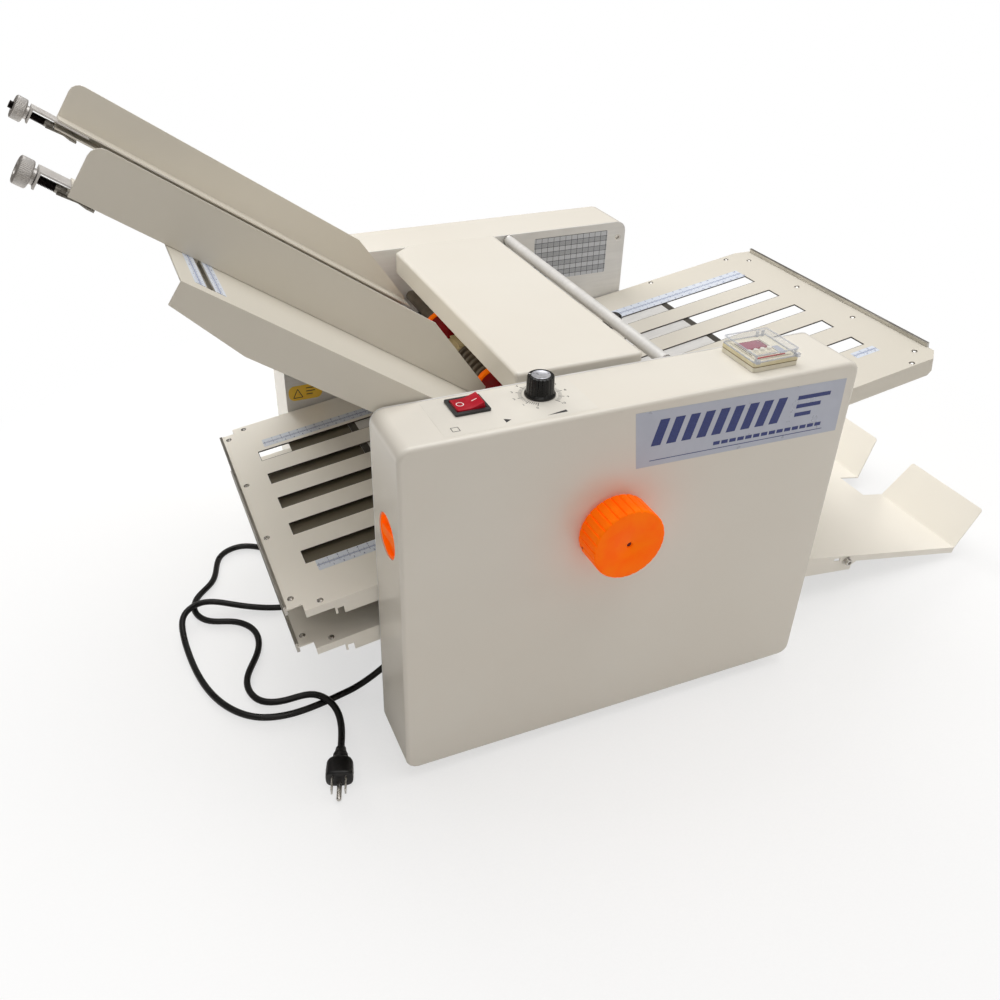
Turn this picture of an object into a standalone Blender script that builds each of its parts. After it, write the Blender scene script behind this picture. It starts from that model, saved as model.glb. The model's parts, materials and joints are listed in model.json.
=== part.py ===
"""Paper folding machine with a sloping feed table and two side guides, two folding
trays on the left, one on the right, an exit tray that pulls out, and a power cord.

Metres, Z up, the floor at z = 0. Every sub-part is one named closed solid, and a
piece that moves has its origin on its joint's axis. Everything hangs from one empty,
which centres the machine over the world's origin.
"""
import math

import bmesh
import bpy
import numpy as np
from mathutils import Matrix, Vector

# Common sizes
GAP = 0.0003  # left between two pieces that touch
SHEET = 0.0015  # steel sheet of the covers, plates and trays
OVERRUN = 0.002  # how far a cutter or a joined piece passes a face
ROUND_SIDES = 24
SMALL_SIDES = 12
CORNER_STEPS = 4
SMOOTH_ANGLE = 35  # degrees, edges flatter than this are shaded smooth
TRIM_SHARE = 0.2  # how far a slanting cut runs on past the two points that set it

# Covers and side plates
COVER_LENGTH = 0.438
COVER_HEIGHT = 0.351
COVER_DEPTH = 0.0682
COVER_CORNER = 0.012
COVER_FILLET = 0.004
INNER_WIDTH = 0.349  # between the two side plates
FOOT_HEIGHT = 0.012
FOOT_RADIUS = 0.0125
FOOT_TAPER = 0.0015
FOOT_INSET = 0.034
BOLT_HOLE_RADIUS = 0.004
BOLT_HOLE_INSET = 0.010
BOLT_HOLE_DROP = 0.0195

PLATE_INNER = INNER_WIDTH / 2
PLATE_OUTER = PLATE_INNER + SHEET
COVER_RIM = PLATE_OUTER + GAP
COVER_FACE = COVER_RIM + COVER_DEPTH
COVER_END = COVER_LENGTH / 2
COVER_TOP = FOOT_HEIGHT + COVER_HEIGHT
TRAY_SIDE_CLEARANCE = 0.0025  # from a side plate to a tray
TABLE_SIDE_CLEARANCE = 0.002
TRAY_HALF_WIDTH = PLATE_INNER - TRAY_SIDE_CLEARANCE
TABLE_HALF_WIDTH = PLATE_INNER - TABLE_SIDE_CLEARANCE

# Base plate and strain relief
BASE_LIFT = 0.004
BASE_LEFT = 0.130
BASE_RIGHT = 0.200
BASE_FLANGE = 0.036
RELIEF_Y = -0.106
RELIEF_HEIGHT = 0.030
RELIEF_COLLAR_RADIUS = 0.010
RELIEF_COLLAR = 0.003
RELIEF_ROOT_RADIUS = 0.0065
RELIEF_TIP_RADIUS = 0.0045
RELIEF_LENGTH = 0.022

# Fold rollers, gears and motor
WHEEL_X = -0.0236
WHEEL_DROP = 0.1184  # from the top of the covers to its axis
WHEEL_Z = COVER_TOP - WHEEL_DROP
FEED_X = -0.062
FEED_DROP = 0.058
FEED_Z = COVER_TOP - FEED_DROP
GEAR_MODULE = 0.002
FOLD_TEETH = 18
FEED_TEETH = 22
PINION_TEETH = 14
PRESSURE_ANGLE = 20
ADDENDUM_SHARE = 0.8
DEDENDUM_SHARE = 1.25
BACKLASH_SHARE = 0.16
GEAR_THICKNESS = 0.008
GEAR_STANDOFF = 0.003
JOURNAL_RADIUS = 0.005
JOURNAL_OVERHANG = 0.0025
ROLLER_END_CLEARANCE = 0.0025
MOTOR_BEARING = -50  # degrees from the lower fold roller's axis to the motor's
MOTOR_RADIUS = 0.032
MOTOR_LENGTH = 0.046
MOTOR_CHAMFER = 0.0015
MOTOR_CLEARANCE = 0.007  # from the gears to the motor
MOTOR_SHAFT_RADIUS = 0.004
MOTOR_BORE_DEPTH = 0.015
MOTOR_POST_RADIUS = 0.004
MOTOR_POST_REACH = 0.027

# Hand wheel
WHEEL_RADIUS = 0.0345
WHEEL_DEPTH = 0.028
WHEEL_STANDOFF = 0.0025
WHEEL_FLUTES = 28
WHEEL_FLUTE_DEPTH = 0.0012
WHEEL_CHAMFER = 0.0015
WHEEL_BORE_DEPTH = 0.015
WHEEL_EYE_RADIUS = 0.0025
WHEEL_EYE_DEPTH = 0.008

# Feed roller set, all on one shaft
FEED_SHAFT_RADIUS = 0.006
TYRE_RADIUS = 0.020
FLANGE_RADIUS = 0.0215
FLANGE_THICKNESS = 0.007
FRONT_TYRE_START = -0.121
FRONT_TYRE_END = -0.0753
TOOTHED_START = -0.005
TOOTHED_END = 0.022
REAR_TYRE_END = 0.0677
TOOTHED_RADIUS = 0.0195
TOOTHED_DEPTH = 0.0025
TOOTHED_TEETH = 20
RIB_RADIUS = 0.016
RIB_GROOVE_RADIUS = 0.0125
RIB_COUNT = 7
PAD_BEARING = 220  # degrees round the feed roller to the separator pad
PAD_THICKNESS = 0.006
PAD_WIDTH = 0.036
PAD_LENGTH = 0.012
PAD_BAR_THICKNESS = 0.006
PAD_BAR_WIDTH = 0.014

# Hood and tie rod
HOOD_LEFT = -0.087
HOOD_RIGHT = 0.038
HOOD_PROUD = 0.005
HOOD_TOP = COVER_TOP + HOOD_PROUD
HOOD_DEPTH = 0.023
HOOD_SIDE_CLEARANCE = 0.0065
HOOD_HALF_WIDTH = PLATE_INNER - HOOD_SIDE_CLEARANCE
HOOD_CORNER = 0.003
HOOD_FILLET = 0.003
HOOD_CHAMFER_X = 0.020
HOOD_CHAMFER_Y = 0.017
HINGE_INSET = 0.010
HINGE_RISE = 0.007
HINGE_PIN_RADIUS = 0.003
TIE_ROD_X = 0.060
TIE_ROD_DROP = 0.006
TIE_ROD_Z = COVER_TOP - TIE_ROD_DROP
TIE_ROD_RADIUS = 0.006

# Feed table, measured along its slope from the mark over the covers' left end
TRAYS_REACH = 0.1954  # from the main fold roller's axis to the marks of the left trays and the table
TRAYS_X = WHEEL_X - TRAYS_REACH
TABLE_SLOPE = -34.5
TABLE_RISE = 0.0372  # at the left end of the covers, above their tops
TABLE_HEIGHT = COVER_TOP + TABLE_RISE
TABLE_OUTER = -0.154
TABLE_INNER = 0.159
SKIRT_OUTER = 0.0198
SKIRT_INNER = 0.032
SKIRT_BREAK = -0.088
RAIL_CENTRE = -0.1292
RAIL_WIDTH = 0.0064
RAIL_DEPTH = 0.005
RAIL_WALL = 0.0012
RAIL_END_INSET = 0.0125
RAIL_HALF_LENGTH = TABLE_HALF_WIDTH - RAIL_END_INSET
REST_PIN_RADIUS = 0.003
REST_PIN_LENGTH = 0.004
TABLE_REST_SHARES = (0.68, 0.92)  # along the table, from its outer end

# Side guides and their clamps
FRONT_GUIDE_Y = 0.0965
REAR_GUIDE_Y = 0.136
GUIDE_OUTER = -0.228
GUIDE_INNER = 0.157
GUIDE_HEIGHT = 0.0425
GUIDE_CORNER = 0.010
GUIDE_BREAK = 0.076
GUIDE_TIP_HEIGHT = 0.0114
GUIDE_FLANGE = 0.020
GUIDE_LEDGE_HEIGHT = 0.0079
TONGUE_WIDTH = 0.0034
TONGUE_DEPTH = 0.0035
STRAP_WIDTH = 0.020
STRAP_OUTER = -0.250
STRAP_INNER = -0.200
LUG_DROP = 0.0065
ROD_INSET = 0.011
ROD_RADIUS = 0.0036
ROD_OUTER = -0.266
HOOK_OUTER = -0.232
HOOK_INNER = -0.205
HOOK_WIDTH = 0.010
HOOK_DEPTH = 0.0055
NUT_RADIUS = 0.0105
NUT_KNURLS = 24
NUT_KNURL_DEPTH = 0.0005
NUT_LENGTH = 0.010
COLLAR_RADIUS = 0.006
COLLAR_LENGTH = 0.0027

# Folding trays, measured along their slopes
TRAY_SHEET = 0.0012
SLOT_COUNT = 5
SLOT_PITCH = 0.049
SLOT_WIDTH = 0.021
LEFT_SLOPE = 8.42
LEFT_DROP = 0.1813
LEFT_HEIGHT = COVER_TOP - LEFT_DROP
LEFT_TRAY_SPACING = 0.047
LEFT_OUTER = -0.0829
LEFT_INNER = 0.1587
LEFT_SLOT_OUTER = -0.0505
LEFT_SLOT_INNER = 0.110
LEFT_FLANGE = 0.018
LEFT_LIP = 0.008
LEFT_NOTCH_LENGTH = 0.0152
LEFT_NOTCH_WIDTH = 0.010
HOOK_TOOTH = 0.0021
HOOK_TOOTH_DEPTH = 0.016
HOOK_SLOT_START = -0.0415
HOOK_SLOT_WIDTH = 0.006
HOOK_SLOT_ROOF = 0.010
LEFT_RAIL_WIDTH = 0.003
LEFT_RAIL_RISE = 0.002
LEFT_RAIL_DROP = 0.008
LEFT_RAIL_END_INSET = 0.012
LEFT_RAIL_HALF_LENGTH = TRAY_HALF_WIDTH - LEFT_RAIL_END_INSET
RIGHT_SLOPE = 9.39
RIGHT_TRAY_REACH = 0.3211  # from the same axis to the mark of the right tray
RIGHT_X = WHEEL_X + RIGHT_TRAY_REACH
RIGHT_DROP = 0.0764
RIGHT_HEIGHT = COVER_TOP - RIGHT_DROP
RIGHT_INNER = -0.2965
RIGHT_OUTER = 0.111
RIGHT_SLOT_INNER = -0.150
RIGHT_SLOT_OUTER = 0.0644
RIGHT_FLANGE = 0.019
RIGHT_FLANGE_END = 0.0938
RIGHT_LIP = 0.006
RIGHT_CORNER = 0.012
RIGHT_CHAMFER_LENGTH = 0.0172
RIGHT_CHAMFER_WIDTH = 0.007
RIGHT_RAIL_WIDTH = 0.003
RIGHT_RAIL_RISE = 0.005
RIGHT_RAIL_DROP = 0.008
RIGHT_RAIL_FRONT_INSET = 0.021
RIGHT_RAIL_REAR_INSET = 0.010
RIGHT_RAIL_FRONT = RIGHT_RAIL_FRONT_INSET - TRAY_HALF_WIDTH
RIGHT_RAIL_REAR = TRAY_HALF_WIDTH - RIGHT_RAIL_REAR_INSET
TRAY_REST_SHARES = (0.30, 0.92)  # along the part of a tray between the plates

# Sliding stops under the folding trays
STOP_SHEET = 0.002
STOP_HALF_WIDTH = 0.125
STOP_STEM_RADIUS = 0.005
STOP_KNOB_RADIUS = 0.0115
STOP_KNOB_HEIGHT = 0.012
STOP_KNOB_FILLET = 0.002
LEFT_STOP_OUTER = 0.055
LEFT_STOP_INNER = 0.135
LEFT_STOP_KNOB = 0.095
RIGHT_STOP_INNER = -0.1495
RIGHT_STOP_OUTER = -0.0502
RIGHT_STOP_KNOB = -0.132

# Exit tray and its extension, measured along their slope
EXIT_SLOPE = -11.45
EXIT_REACH = 0.3206
EXIT_X = WHEEL_X + EXIT_REACH
EXIT_HEIGHT = 0.066
EXIT_INNER = -0.2418
EXIT_OUTER = 0.0694
EXIT_FLANGE_OUTER = 0.020
EXIT_FLANGE_INNER = 0.032
EXIT_FLANGE_BREAK = -0.080
EXIT_SLOT_START = 0.0378
EXIT_SLOT_END = 0.0470
EXIT_SLOT_TOP = 0.0030
EXIT_SLOT_BOTTOM = 0.0070
EXIT_REST_SHARES = (0.05, 0.60)
SCREW_U = 0.0582
SCREW_DROP = 0.0068
SCREW_RADIUS = 0.0025
SCREW_WASHER_RADIUS = 0.0055
SCREW_WASHER = 0.0012
SCREW_HEAD_RADIUS = 0.0045
SCREW_HEAD = 0.004
SCREW_NUT_RADIUS = 0.0032
SCREW_NUT = 0.003
EXTENSION_INNER = -0.110
EXTENSION_FOLD = 0.2418
EXTENSION_NOTCH = 0.2082
EXTENSION_DEEP_FLANGE = 0.013
EXTENSION_FLANGE = 0.008
EXTENSION_TRAVEL = 0.080
NOTCH_FRONT = -0.041
NOTCH_REAR = 0.005
FLAP_RISE = 60.7
FLAP_LENGTH = 0.0577
FLAP_SLANT = 0.011
FLAP_CORNER = 0.004
FOLD_OVERLAP = 0.0006

# Side adjuster knob, in the front cover's left end
ADJUSTER_INSET = 0.0336  # from the rim of the front cover to the middle of the knob
ADJUSTER_DROP = 0.1006
ADJUSTER_Y = -COVER_RIM - ADJUSTER_INSET
ADJUSTER_Z = COVER_TOP - ADJUSTER_DROP
ADJUSTER_RADIUS = 0.0205
ADJUSTER_RECESS = 0.001
ADJUSTER_THICKNESS = 0.010
ADJUSTER_BOSS_RADIUS = 0.008
ADJUSTER_BOSS = 0.010
GRIP_WIDTH = 0.008
GRIP_LENGTH = 0.040
GRIP_RISE = 0.005
GRIP_CORNER = 0.003

# Rocker switch
SWITCH_X = -0.14325
SWITCH_INSET = 0.0215
SWITCH_Y = -COVER_RIM - SWITCH_INSET
BEZEL_LENGTH = 0.031
BEZEL_WIDTH = 0.0276
BEZEL_RIM = 0.002
BEZEL_LIP = 0.0018
BEZEL_DEPTH = 0.014
BEZEL_CORNER = 0.0015
BEZEL_OPENING_LENGTH = 0.0262
BEZEL_OPENING_WIDTH = 0.0198
ROCKER_HALF_LENGTH = 0.0118
ROCKER_SHOULDER = 0.0042
ROCKER_DIP = 0.0022
ROCKER_SKIRT = 0.004
ROCKER_TILT = -9  # degrees, the right-hand side raised

# Speed knob
KNOB_X = -0.0795
KNOB_INSET = 0.0237
KNOB_Y = -COVER_RIM - KNOB_INSET
KNOB_SKIRT_RADIUS = 0.01325
KNOB_SKIRT = 0.0025
KNOB_OVERLAP_SHARE = 0.75  # of the skirt's height, where the fluted grip starts
KNOB_RADIUS = 0.0116
KNOB_HEIGHT = 0.0182
KNOB_FLUTES = 20
KNOB_FLUTE_DEPTH = 0.0006
KNOB_CHAMFER = 0.0010
KNOB_SHAFT_RADIUS = 0.003
KNOB_SHAFT_DEPTH = 0.011

# Counter
COUNTER_X = 0.1345
COUNTER_INSET = 0.0302
COUNTER_Y = -COVER_RIM - COUNTER_INSET
COUNTER_LENGTH = 0.047
COUNTER_WIDTH = 0.048
COUNTER_CORNER = 0.002
COUNTER_HEIGHT = 0.0085
COUNTER_PANEL_MARGIN = 0.005
COUNTER_PANEL_RISE = 0.0012
LID_HEIGHT = 0.0095
LID_WALL = 0.0012
LID_FILLET = 0.0012
BUTTON_COUNT = 4
BUTTON_RADIUS = 0.0022
BUTTON_PITCH = 0.0072
BUTTON_FIRST_X = 0.1185
BUTTON_Y = -0.2115
BUTTON_RISE = 0.0024
BUTTON_DEPTH = 0.0035
BUTTON_TRAVEL = 0.0012

# Power cord and plug
CORD_RADIUS = 0.0035
CORD_STEP = 0.0175
CORD_SAMPLES = 20  # on each span of the route, to measure its length by
CORD_SIDES_RESOLUTION = 2
PLUG_HEIGHT = 0.011
PLUG_HEADING = (-0.311, -0.950)
PLUG_SECTIONS = (
    (0.0, 0.0050, 0.0050),
    (0.012, 0.0062, 0.0062),
    (0.019, 0.0125, 0.0095),
    (0.036, 0.0130, 0.0100),
    (0.038, 0.0120, 0.0090),
)
PLUG_CORNER_SHARE = 0.6
BLADE_LENGTH = 0.0165
BLADE_WIDTH = 0.0063
BLADE_THICKNESS = 0.0015
BLADE_OFFSET = 0.00635
BLADE_RISE = 0.0025
EARTH_PIN_RADIUS = 0.0024
EARTH_PIN_LENGTH = 0.0195
EARTH_PIN_DROP = 0.0055

# The cord's route, from the strain relief to the plug, as centre-line points
CORD_ROUTE = (
    (-0.1553, -0.1060, 0.0300), (-0.1670, -0.1060, 0.0299), (-0.1880, -0.1068, 0.0215),
    (-0.2110, -0.1095, 0.0095), (-0.2350, -0.1145, 0.0036), (-0.2640, -0.1210, 0.0035),
    (-0.3020, -0.1250, 0.0035), (-0.3350, -0.1165, 0.0035), (-0.3590, -0.0930, 0.0035),
    (-0.3770, -0.0500, 0.0035), (-0.3845, 0.0000, 0.0042), (-0.3855, 0.0360, 0.0080),
    (-0.3790, 0.0610, 0.0108), (-0.3600, 0.0735, 0.0108), (-0.3260, 0.0640, 0.0062),
    (-0.2900, 0.0465, 0.0036), (-0.2550, 0.0390, 0.0035), (-0.2250, 0.0520, 0.0035),
    (-0.2130, 0.0820, 0.0035), (-0.2290, 0.1140, 0.0035), (-0.2540, 0.1420, 0.0035),
    (-0.2760, 0.1660, 0.0035), (-0.2990, 0.1750, 0.0035), (-0.3205, 0.1655, 0.0035),
    (-0.3315, 0.1400, 0.0035), (-0.3410, 0.1160, 0.0035), (-0.3600, 0.0950, 0.0035),
    (-0.3675, 0.0700, 0.0035), (-0.3555, 0.0480, 0.0035), (-0.3300, 0.0365, 0.0035),
    (-0.3120, 0.0150, 0.0035), (-0.3160, -0.0250, 0.0035), (-0.3350, -0.0660, 0.0035),
    (-0.3270, -0.0955, 0.0036), (-0.3030, -0.1065, 0.0056), (-0.2765, -0.1130, 0.0100),
    (-0.2610, -0.1350, 0.0105), (-0.2600, -0.1600, 0.0100), (-0.2644, -0.1790, 0.0110),
    (-0.2690, -0.1930, 0.0110),
)

# Colours as sRGB hex, with roughness and metallic
FINISHES = {
    "cream_paint": ("E6E1D4", 0.35, 0.0),
    "shaded_cream_paint": ("C9C0AF", 0.40, 0.0),
    "grey_steel": ("B5B3AE", 0.40, 0.9),
    "chrome": ("D8D8D6", 0.12, 1.0),
    "aluminium": ("C8C6C0", 0.35, 1.0),
    "dark_steel": ("2A2422", 0.45, 0.8),
    "orange_plastic": ("FF6A0A", 0.45, 0.0),
    "black_plastic": ("161616", 0.40, 0.0),
    "red_plastic": ("C8142D", 0.35, 0.0),
    "cream_plastic": ("D9CFA8", 0.45, 0.0),
    "white_plastic": ("F2F0EA", 0.40, 0.0),
    "clear_plastic": ("E8ECEE", 0.08, 0.0),
    "red_rubber": ("8E1018", 0.60, 0.0),
    "black_rubber": ("1B1A19", 0.75, 0.0),
}

UPRIGHT = Matrix.Rotation(math.radians(90), 4, "X")  # outline in X and Z, depth to -Y
FLIPPED = Matrix.Rotation(math.radians(180), 4, "Z") @ UPRIGHT  # depth to +Y
ALONG_Y = Matrix.Rotation(math.radians(-90), 4, "X")
ALONG_X = Matrix.Rotation(math.radians(90), 4, "Y")
ACROSS = Matrix(((0, 0, 1, 0), (1, 0, 0, 0), (0, 1, 0, 0), (0, 0, 0, 1)))  # Y, Z, X


# Shapes

def move(x=0, y=0, z=0):
    return Matrix.Translation((x, y, z))


def sloped(x, z, rise):
    """A frame at (x, z) whose X axis rises by so many degrees towards the right."""
    return move(x, 0, z) @ Matrix.Rotation(math.radians(-rise), 4, "Y")


def circle(radius, sides, x=0, y=0):
    steps = (2 * math.pi * i / sides for i in range(sides))
    return [(x + radius * math.cos(a), y + radius * math.sin(a)) for a in steps]


def rectangle(left, bottom, right, top):
    return [(left, bottom), (right, bottom), (right, top), (left, top)]


def rounded(corners, radii, steps=CORNER_STEPS):
    """The outline with each corner replaced by an arc; a radius of 0 keeps it sharp."""
    outline = []
    for index, corner in enumerate(corners):
        radius = radii[index] if isinstance(radii, (list, tuple)) else radii
        here = Vector(corner)
        if not radius:
            outline.append(tuple(here))
            continue
        before = (Vector(corners[index - 1]) - here).normalized()
        after = (Vector(corners[(index + 1) % len(corners)]) - here).normalized()
        half = before.angle(after) / 2
        middle = (before + after).normalized()
        centre = here + middle * (radius / math.sin(half))
        first = here + before * (radius / math.tan(half)) - centre
        last = here + after * (radius / math.tan(half)) - centre
        sweep = first.angle_signed(last)
        for step in range(steps + 1):
            arm = first.copy()
            arm.rotate(Matrix.Rotation(-sweep * step / steps, 2))
            outline.append(tuple(centre + arm))
    return outline


def inset(outline, distance):
    """The outline moved inwards, for one that runs anticlockwise."""
    moved = []
    for index, point in enumerate(outline):
        here = Vector(point)
        back = (here - Vector(outline[index - 1])).normalized()
        ahead = (Vector(outline[(index + 1) % len(outline)]) - here).normalized()
        one = Vector((-back.y, back.x))
        two = Vector((-ahead.y, ahead.x))
        moved.append(tuple(here + (one + two) * (distance / (1 + one.dot(two)))))
    return moved


def fluted(radius, depth, count):
    """A circle with so many shallow grooves, four points to a groove."""
    outline = []
    for index in range(4 * count):
        angle = 2 * math.pi * index / (4 * count)
        reach = radius if index % 4 < 2 else radius - depth
        outline.append((reach * math.cos(angle), reach * math.sin(angle)))
    return outline


def solid_from(mesh_builder):
    bmesh.ops.recalc_face_normals(mesh_builder, faces=mesh_builder.faces)
    mesh = bpy.data.meshes.new("solid")
    mesh_builder.to_mesh(mesh)
    mesh_builder.free()
    solid = bpy.data.objects.new("solid", mesh)
    bpy.context.collection.objects.link(solid)
    return solid


def loft(rings, matrix, looped=False):
    """A skin over rings of points, capped at both ends or closed on itself."""
    builder = bmesh.new()
    rows = [[builder.verts.new(matrix @ Vector(point)) for point in ring] for ring in rings]
    following = rows[1:] + rows[:1] if looped else rows[1:]
    for row, beyond in zip(rows, following):
        for index in range(len(row)):
            builder.faces.new((row[index - 1], row[index], beyond[index], beyond[index - 1]))
    if not looped:
        builder.faces.new(rows[0])
        builder.faces.new(rows[-1])
    return solid_from(builder)


def turned(profile, sides, matrix, looped=False):
    """A body of revolution from (distance along the axis, radius) pairs."""
    rings = [[(x, y, along) for x, y in circle(radius, sides)] for along, radius in profile]
    return loft(rings, matrix, looped)


def rod(start, end, radius, sides, matrix):
    return turned([(start, radius), (end, radius)], sides, matrix)


def tube(start, end, bore, radius, sides, matrix):
    profile = [(start, bore), (start, radius), (end, radius), (end, bore)]
    return turned(profile, sides, matrix, looped=True)


def extruded(outline, low, high, matrix, holes=()):
    """A flat outline with holes, from low to high along the matrix's Z axis."""
    builder = bmesh.new()
    for loop in (outline, *holes):
        verts = [builder.verts.new((x, y, low)) for x, y in loop]
        for index in range(len(verts)):
            builder.edges.new((verts[index - 1], verts[index]))
    bmesh.ops.triangle_fill(builder, use_beauty=True, edges=builder.edges[:])
    copied = bmesh.ops.extrude_face_region(builder, geom=builder.faces[:])["geom"]
    raised = [item for item in copied if isinstance(item, bmesh.types.BMVert)]
    bmesh.ops.translate(builder, vec=(0, 0, high - low), verts=raised)
    builder.transform(matrix)
    return solid_from(builder)


def side_panel(frame, outline, front, rear, holes=()):
    """An outline in a frame's X and Z, extruded between two places along Y."""
    return extruded(outline, -rear, -front, frame @ UPRIGHT, holes)


def shell(outline, wall, fillet, depth, matrix):
    """A tray of even wall, open at z = 0 and closed at z = depth with a soft edge."""
    def ring(inwards, height):
        return [(x, y, height) for x, y in inset(outline, inwards)]

    rings = [ring(wall, depth - wall), ring(wall, 0), ring(0, 0), ring(0, depth - fillet)]
    for step in range(1, CORNER_STEPS):
        angle = math.pi / 2 * step / (CORNER_STEPS - 1)
        inwards = fillet * (1 - math.cos(angle))
        rings.append(ring(inwards, depth - fillet + fillet * math.sin(angle)))
    return loft(rings, matrix)


def combine(body, tools, operation):
    """Join or cut a body with tools, which are used up."""
    for tool in tools:
        modifier = body.modifiers.new(operation.title(), "BOOLEAN")
        modifier.operation = operation
        modifier.solver = "EXACT"
        modifier.object = tool
    graph = bpy.context.evaluated_depsgraph_get()
    result = bpy.data.meshes.new_from_object(body.evaluated_get(graph))
    body.modifiers.clear()
    body.data = result
    for tool in tools:
        bpy.data.objects.remove(tool)
    return body


def join(body, *tools):
    return combine(body, tools, "UNION")


def cut(body, *tools):
    return combine(body, tools, "DIFFERENCE")


def channel(frame, start, end, half_width, depth, sheet):
    """A sheet with both long edges folded down, between two places along its slope."""
    inner = half_width - sheet
    section = [
        (-half_width, -depth), (-inner, -depth), (-inner, -sheet), (inner, -sheet),
        (inner, -depth), (half_width, -depth), (half_width, 0), (-half_width, 0),
    ]
    return extruded(section, start, end, frame @ ACROSS)


def trim_below(frame, one, two, depth, half_width):
    """A cutter for all that lies below a line across a channel's flanges."""
    start, way = Vector(one), Vector(two) - Vector(one)
    first = start - way * TRIM_SHARE
    last = start + way * (1 + TRIM_SHARE)
    floor = -depth - OVERRUN - abs(way.y)
    outline = [(first.x, floor), (last.x, floor), tuple(last), tuple(first)]
    return side_panel(frame, outline, -half_width - OVERRUN, half_width + OVERRUN)


def corner_cutter(frame, along, across, length, width, depth):
    """A cutter for a plate's corner: length along the slope, width across it."""
    side = math.copysign(1, across)
    one = Vector((along - length, across))
    two = Vector((along, across - side * width))
    way = (two - one) * TRIM_SHARE
    beyond = (along + length, across + side * width)
    outline = [tuple(one - way), tuple(two + way), beyond]
    return extruded(outline, -depth - OVERRUN, OVERRUN, frame)


def through(frame, outline, sheet):
    """A cutter straight through a plate whose top is the frame's zero."""
    return extruded(outline, -sheet - OVERRUN, OVERRUN, frame)


# Finishes and nodes

def linear(value):
    return value / 12.92 if value <= 0.04045 else ((value + 0.055) / 1.055) ** 2.4


def make_finish(name, hex_colour, roughness, metallic):
    material = bpy.data.materials.new(name)
    material.use_nodes = True
    shader = material.node_tree.nodes["Principled BSDF"]
    channels = [int(hex_colour[i:i + 2], 16) / 255 for i in (0, 2, 4)]
    colour = [linear(channel) for channel in channels] + [1]
    shader.inputs["Base Color"].default_value = colour
    shader.inputs["Roughness"].default_value = roughness
    shader.inputs["Metallic"].default_value = metallic
    material.diffuse_color = colour
    return material


def node(name, solid, finish, origin=(0, 0, 0)):
    """Name a solid, give it its finish and put its origin where its joint is."""
    solid.name = name
    solid.data.name = name
    solid.data.transform(Matrix.Translation(-Vector(origin)))
    solid.data.shade_smooth()
    solid.data.set_sharp_from_angle(angle=math.radians(SMOOTH_ANGLE))
    solid.location = origin
    solid.parent = MACHINE
    solid.data.materials.clear()
    solid.data.materials.append(FINISH[finish])
    return solid


# Covers, plates and base

def end_outline():
    corners = rectangle(-COVER_END, FOOT_HEIGHT, COVER_END, COVER_TOP)
    return rounded(corners, COVER_CORNER)


def add_covers():
    front = shell(end_outline(), SHEET, COVER_FILLET, COVER_DEPTH, move(0, -COVER_RIM) @ UPRIGHT)
    wheel_hole = rod(
        COVER_FACE - SHEET - OVERRUN, COVER_FACE + OVERRUN, JOURNAL_RADIUS + GAP, SMALL_SIDES,
        move(WHEEL_X, 0, WHEEL_Z) @ UPRIGHT,
    )
    adjuster_hole = rod(
        -COVER_END - OVERRUN, -COVER_END + SHEET + OVERRUN, ADJUSTER_RADIUS + GAP, ROUND_SIDES,
        move(0, ADJUSTER_Y, ADJUSTER_Z) @ ALONG_X,
    )
    switch_hole = extruded(
        bezel_body_outline(GAP), COVER_TOP - SHEET - OVERRUN, COVER_TOP + OVERRUN,
        move(SWITCH_X, SWITCH_Y),
    )
    knob_hole = rod(
        COVER_TOP - SHEET - OVERRUN, COVER_TOP + OVERRUN, KNOB_SHAFT_RADIUS + GAP, SMALL_SIDES,
        move(KNOB_X, KNOB_Y),
    )
    cut(front, wheel_hole, adjuster_hole, switch_hole, knob_hole)
    node("front_cover", front, "cream_paint")
    rear = shell(end_outline(), SHEET, COVER_FILLET, COVER_DEPTH, move(0, COVER_RIM) @ FLIPPED)
    node("rear_cover", rear, "cream_paint")


def shaft_holes():
    """Where shafts pass the side plates: x, z and the hole's radius."""
    rollers = [(x, z, JOURNAL_RADIUS + GAP) for x, z in FOLD_AXES]
    feed = (FEED_X, FEED_Z, FEED_SHAFT_RADIUS + GAP)
    hood = (HINGE_X, HINGE_Z, HINGE_PIN_RADIUS + GAP)
    return [*rollers, feed, hood]


def rest_points():
    """Centres of the pins that the table's skirts and the trays' flanges lie on."""
    inner_reach = COVER_END - OVERRUN
    table_span = TABLE_INNER - TABLE_OUTER
    places = [(TABLE, TABLE_OUTER + share * table_span, SKIRT_INNER) for share in TABLE_REST_SHARES]
    for share in TRAY_REST_SHARES:
        for tray in (UPPER_LEFT, LOWER_LEFT):
            places.append((tray, share * LEFT_INNER, LEFT_FLANGE))
        span = inner_reach - RIGHT_X - RIGHT_INNER
        places.append((RIGHT, RIGHT_INNER + (1 - share) * span, RIGHT_FLANGE))
    for share in EXIT_REST_SHARES:
        span = inner_reach - EXIT_X - EXIT_INNER
        places.append((EXIT, EXIT_INNER + share * span, EXIT_FLANGE_INNER))
    return [frame @ Vector((along, 0, -depth - GAP - REST_PIN_RADIUS)) for frame, along, depth in places]


def add_side_plate(name, side, extra_holes=()):
    holes = [circle(r, SMALL_SIDES, x, z) for x, z, r in (*shaft_holes(), *extra_holes)]
    front, rear = sorted((side * PLATE_INNER, side * PLATE_OUTER))
    plate = side_panel(Matrix(), end_outline(), front, rear, holes)
    start = side * (PLATE_INNER + SHEET / 2)
    end = side * (PLATE_INNER - REST_PIN_LENGTH)
    frames = [move(point.x, 0, point.z) @ ALONG_Y for point in rest_points()]
    pins = [rod(start, end, REST_PIN_RADIUS, SMALL_SIDES, frame) for frame in frames]
    node(name, join(plate, *pins), "grey_steel")


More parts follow.
